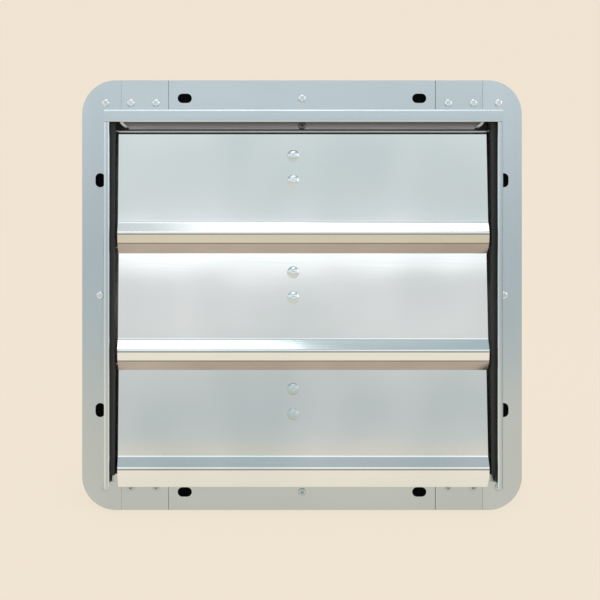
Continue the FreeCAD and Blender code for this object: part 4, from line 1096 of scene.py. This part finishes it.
@dataclass
class WiringFittings:
    """Junction box, gland, capacitor and the motor's short lead."""

    shop: Workshop
    edge: float = 0.4
    nodes: tuple[str, ...] = (
        "junction_box", "box_cover", "cover_screws", "cable_gland", "capacitor", "capacitor_clip",
        "motor_lead")
    lid_profile: Profile = (
        (0.0, 0.5), (5.0, 0.5), (5.6, 1.3), (8.0, 1.3), (8.6, 0.4), (13.0, 0.4), (13.6, 1.5), (15.0, 1.8),
        (15.9, 1.3), (16.15, 0.0), (16.15, -3.2), (15.8, -3.6), (0.0, -3.6))
    lid_facets: int = 48
    flutes: int = 18
    flute_size: Point3 = (1.3, 8.0, 1.2)
    flute_round: float = 0.35
    flute_radius: float = 9.4
    flute_back: float = 7.0
    knockout_profile: Profile = ((0.0, 0.35), (6.6, 0.35), (7.0, 0.1), (7.3, 0.1), (7.6, -0.3), (0.0, -0.3))

    def build(self) -> None:
        """Ease the fittings' edges, then close the capacitor, flute the gland and press the knockouts."""
        for name in self.nodes:
            self.shop.soften(name, self.edge)
        low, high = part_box("capacitor")
        middle = (low + high) / 2
        lid = turned(self.lid_profile, self.lid_facets)
        bmesh.ops.translate(lid, vec=(middle.x, high.y, middle.z), verts=lid.verts[:])
        self.shop.add(lid, "capacitor_lid", "zinc_steel")
        self.flute_gland()
        self.press_knockouts()

    def flute_gland(self) -> None:
        """Put grip ribs round the gland's cap nut."""
        low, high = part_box("cable_gland")
        middle = (low + high) / 2
        seat = Matrix.Translation((middle.x, high.y - self.flute_back * MM, middle.z))
        up = spot(0, 0, self.flute_radius)
        turns = [math.tau * i / self.flutes for i in range(self.flutes)]
        places = [seat @ Matrix.Rotation(turn, 4, "Y") @ up for turn in turns]
        self.shop.add(copies(bar(self.flute_size, self.flute_round), places), "gland_flutes", "lead_rubber")

    def press_knockouts(self) -> None:
        """Press round knockouts in the junction box's sides."""
        low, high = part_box("junction_box")
        middle = (low + high) / 2
        places = [Matrix.Translation((low.x, middle.y, middle.z)) @ Matrix.Rotation(QUARTER, 4, "Z"),
                  Matrix.Translation((high.x, middle.y, middle.z)) @ Matrix.Rotation(-QUARTER, 4, "Z"),
                  Matrix.Translation((middle.x, middle.y, low.z)) @ Matrix.Rotation(-QUARTER, 4, "X")]
        self.shop.add(copies(turned(self.knockout_profile), places), "box_knockouts", "galvanised_steel")


@dataclass(frozen=True)
class SoftBox:
    """Rectangular lamp that faces the fan, in metres and watts.

    A fade other than 0 is the width of the dimmer strips beside the lamp, on the side of its sign.
    """

    name: str
    place: Point3
    size: Point2
    power: float
    fade: float = 0.0
    shares: tuple[float, ...] = (0.22, 0.13, 0.06)

    def hang(self) -> None:
        """Hang the lamp, and its dimmer strips where it fades."""
        width, height = self.size
        strip = abs(self.fade)
        rows = [(self.name, 0.0, width, self.power)]
        for step, share in enumerate(self.shares if strip else ()):
            aside = math.copysign(width / 2, self.fade) + self.fade * (step + 0.5)
            rows.append(("%s_fade_%d" % (self.name, step), aside, strip, self.power * share * strip / width))
        turn = (-Vector(self.place)).to_track_quat("-Z", "Y")
        for name, aside, lamp_width, power in rows:
            lamp = bpy.data.lights.new(name, "AREA")
            lamp.shape = "RECTANGLE"
            lamp.size = lamp_width
            lamp.size_y = height
            lamp.energy = power
            holder = put(name, lamp)
            holder.location = Vector(self.place) + turn @ Vector((aside, 0, 0))
            holder.rotation_euler = turn.to_euler()


@dataclass
class Studio:
    """Pale floor and backdrop, soft boxes, surroundings and camera."""

    pale: Colour = (0.896, 0.791, 0.658)
    far: Colour = (0.65, 0.675, 0.67)
    fade: Point2 = (-1.3, -0.45)
    flatness: float = 0.88
    roughness: float = 0.9
    floor_z: float = -0.1836
    floor_half: float = 3.0
    floor_back: float = 2.4
    sweep_round: float = 600.0
    sweep_facets: int = 12
    camera_place: Point3 = (-0.0580, -0.8524, 0.0675)
    sensor: float = 36.0
    lens: float = 59.8
    shift: Point2 = (0.11, -0.14)
    boxes: tuple[SoftBox, ...] = (
        SoftBox("key_box", (0.24, -0.995, 1.572), (0.72, 0.44), 1.9, -0.05),
        SoftBox("fill_box", (-0.252, -1.231, 1.292), (0.74, 0.2), 0.85, 0.06),
        SoftBox("side_box", (1.5, -0.7, 0.6), (0.7, 1.0), 2.2),
        SoftBox("rear_box", (0.3, 1.9, 1.3), (1.2, 0.8), 4.0))
    air: tuple[tuple[float, Colour], ...] = (
        (0.0, far), (0.485, far), (0.505, (0.69, 0.70, 0.69)), (0.52, (0.87, 0.86, 0.85)),
        (0.5505, (0.77, 0.77, 0.765)), (0.557, (1.4, 1.4, 1.4)), (0.569, (1.4, 1.4, 1.4)),
        (0.574, (0.70, 0.75, 0.76)), (0.622, (0.72, 0.78, 0.78)), (0.645, (1.2, 1.24, 1.26)),
        (0.715, (1.2, 1.24, 1.26)), (0.74, (0.50, 0.55, 0.57)), (0.83, (0.50, 0.55, 0.57)),
        (0.868, (0.45, 0.56, 0.59)), (0.89, (0.74, 0.78, 0.78)), (0.925, (0.74, 0.78, 0.78)),
        (0.94, (1.0, 1.0, 1.0)), (1.0, (1.0, 1.0, 1.0)))

    def build(self) -> None:
        """Set up the stage, the light and the camera."""
        self.lay_floor()
        self.light_world()
        for box in self.boxes:
            box.hang()
        self.aim_camera()

    def lay_floor(self) -> None:
        """Lay a pale floor that sweeps up into a backdrop."""
        bm = bmesh.new()
        bmesh.ops.create_grid(bm, x_segments=1, y_segments=1, size=self.floor_half)
        bmesh.ops.translate(bm, vec=(0, self.floor_back - self.floor_half, self.floor_z), verts=bm.verts[:])
        behind = self.floor_back - MM
        back = [e for e in bm.edges if all(v.co.y > behind for v in e.verts)]
        risen = bmesh.ops.extrude_edge_only(bm, edges=back)
        bmesh.ops.translate(bm, vec=(0, 0, self.floor_half), verts=new_verts(risen))
        fold = [e for e in bm.edges if all(v.co.y > behind and v.co.z < 0 for v in e.verts)]
        round_edges(bm, fold, self.sweep_round, self.sweep_facets)
        floor = smooth_object(bm, "studio_sweep", self.pale_paper())

    def pale_paper(self) -> Material:
        """Make the floor's paper, which keeps a soft shadow and greys far in front.

        Returns:
            The material, nearly its own flat colour to the camera and in mirrors and glass.
        """
        s = Surface("pale_paper")
        depth = s.node("ShaderNodeSeparateXYZ", {0: s.place}).outputs["Y"]
        paper = s.blend(s.span(depth, self.fade), self.far, self.pale)
        s.feed(s.shader, {"Base Color": paper, "Roughness": self.roughness})
        flat = s.node("ShaderNodeEmission", {"Color": paper})
        path = s.node("ShaderNodeLightPath")
        seen = path.outputs["Is Camera Ray"]
        for ray in ("Is Glossy Ray", "Is Transmission Ray"):
            seen = s.node("ShaderNodeMath", {0: seen, 1: path.outputs[ray]}, operation="MAXIMUM").outputs[0]
        share = s.node("ShaderNodeMath", {0: seen, 1: self.flatness}, operation="MULTIPLY").outputs[0]
        mix = s.node("ShaderNodeMixShader", {0: share, 1: s.shader.outputs[0], 2: flat.outputs[0]})
        s.feed(s.nodes["Material Output"], {"Surface": mix.outputs[0]})
        return s.material

    def light_world(self) -> None:
        """Make soft surroundings: grey up to the horizon, with bright and dim bands above it."""
        world = bpy.data.worlds.new("studio_air")
        bpy.context.scene.world = world
        world.use_nodes = True
        tree = NodeTree(world.node_tree)
        way = tree.node("ShaderNodeTexCoord").outputs["Generated"]
        height = tree.node("ShaderNodeSeparateXYZ", {0: way}).outputs["Z"]
        bands = tree.node("ShaderNodeValToRGB", {"Fac": tree.span(height, (-1.0, 1.0))})
        stops = bands.color_ramp.elements
        while len(stops) < len(self.air):
            stops.new(0.5)
        for stop, (place, colour) in zip(stops, self.air):
            stop.position = place
            stop.color = (*colour, 1.0)
        tree.feed(tree.nodes["Background"], {"Color": bands.outputs["Color"]})

    def aim_camera(self) -> None:
        """Set a level camera in front of the louvres, a little left of and above their middle."""
        lens = bpy.data.cameras.new("front_camera")
        lens.sensor_width = self.sensor
        lens.lens = self.lens
        lens.shift_x, lens.shift_y = self.shift
        camera = put("front_camera", lens)
        camera.location = self.camera_place
        camera.rotation_euler = (QUARTER, 0, 0)
        bpy.context.scene.camera = camera


def main() -> None:
    """Build every sub-assembly, then the studio."""
    logging.basicConfig(level=logging.INFO, format="%(name)s: %(message)s")
    bpy.context.scene.view_settings.view_transform = "Standard"
    shop = Workshop()
    shop.open()
    for group in (ShutterFrame, Shutter, AirSleeve, FanAndMotor, WiringFittings):
        count = len(shop.made)
        group(shop).build()
        for piece in shop.made[count:]:
            LOG.info("%s: %s, %d faces", group.__name__, piece.name, len(piece.data.polygons))
    Studio().build()


if __name__ == "__main__":
    main()
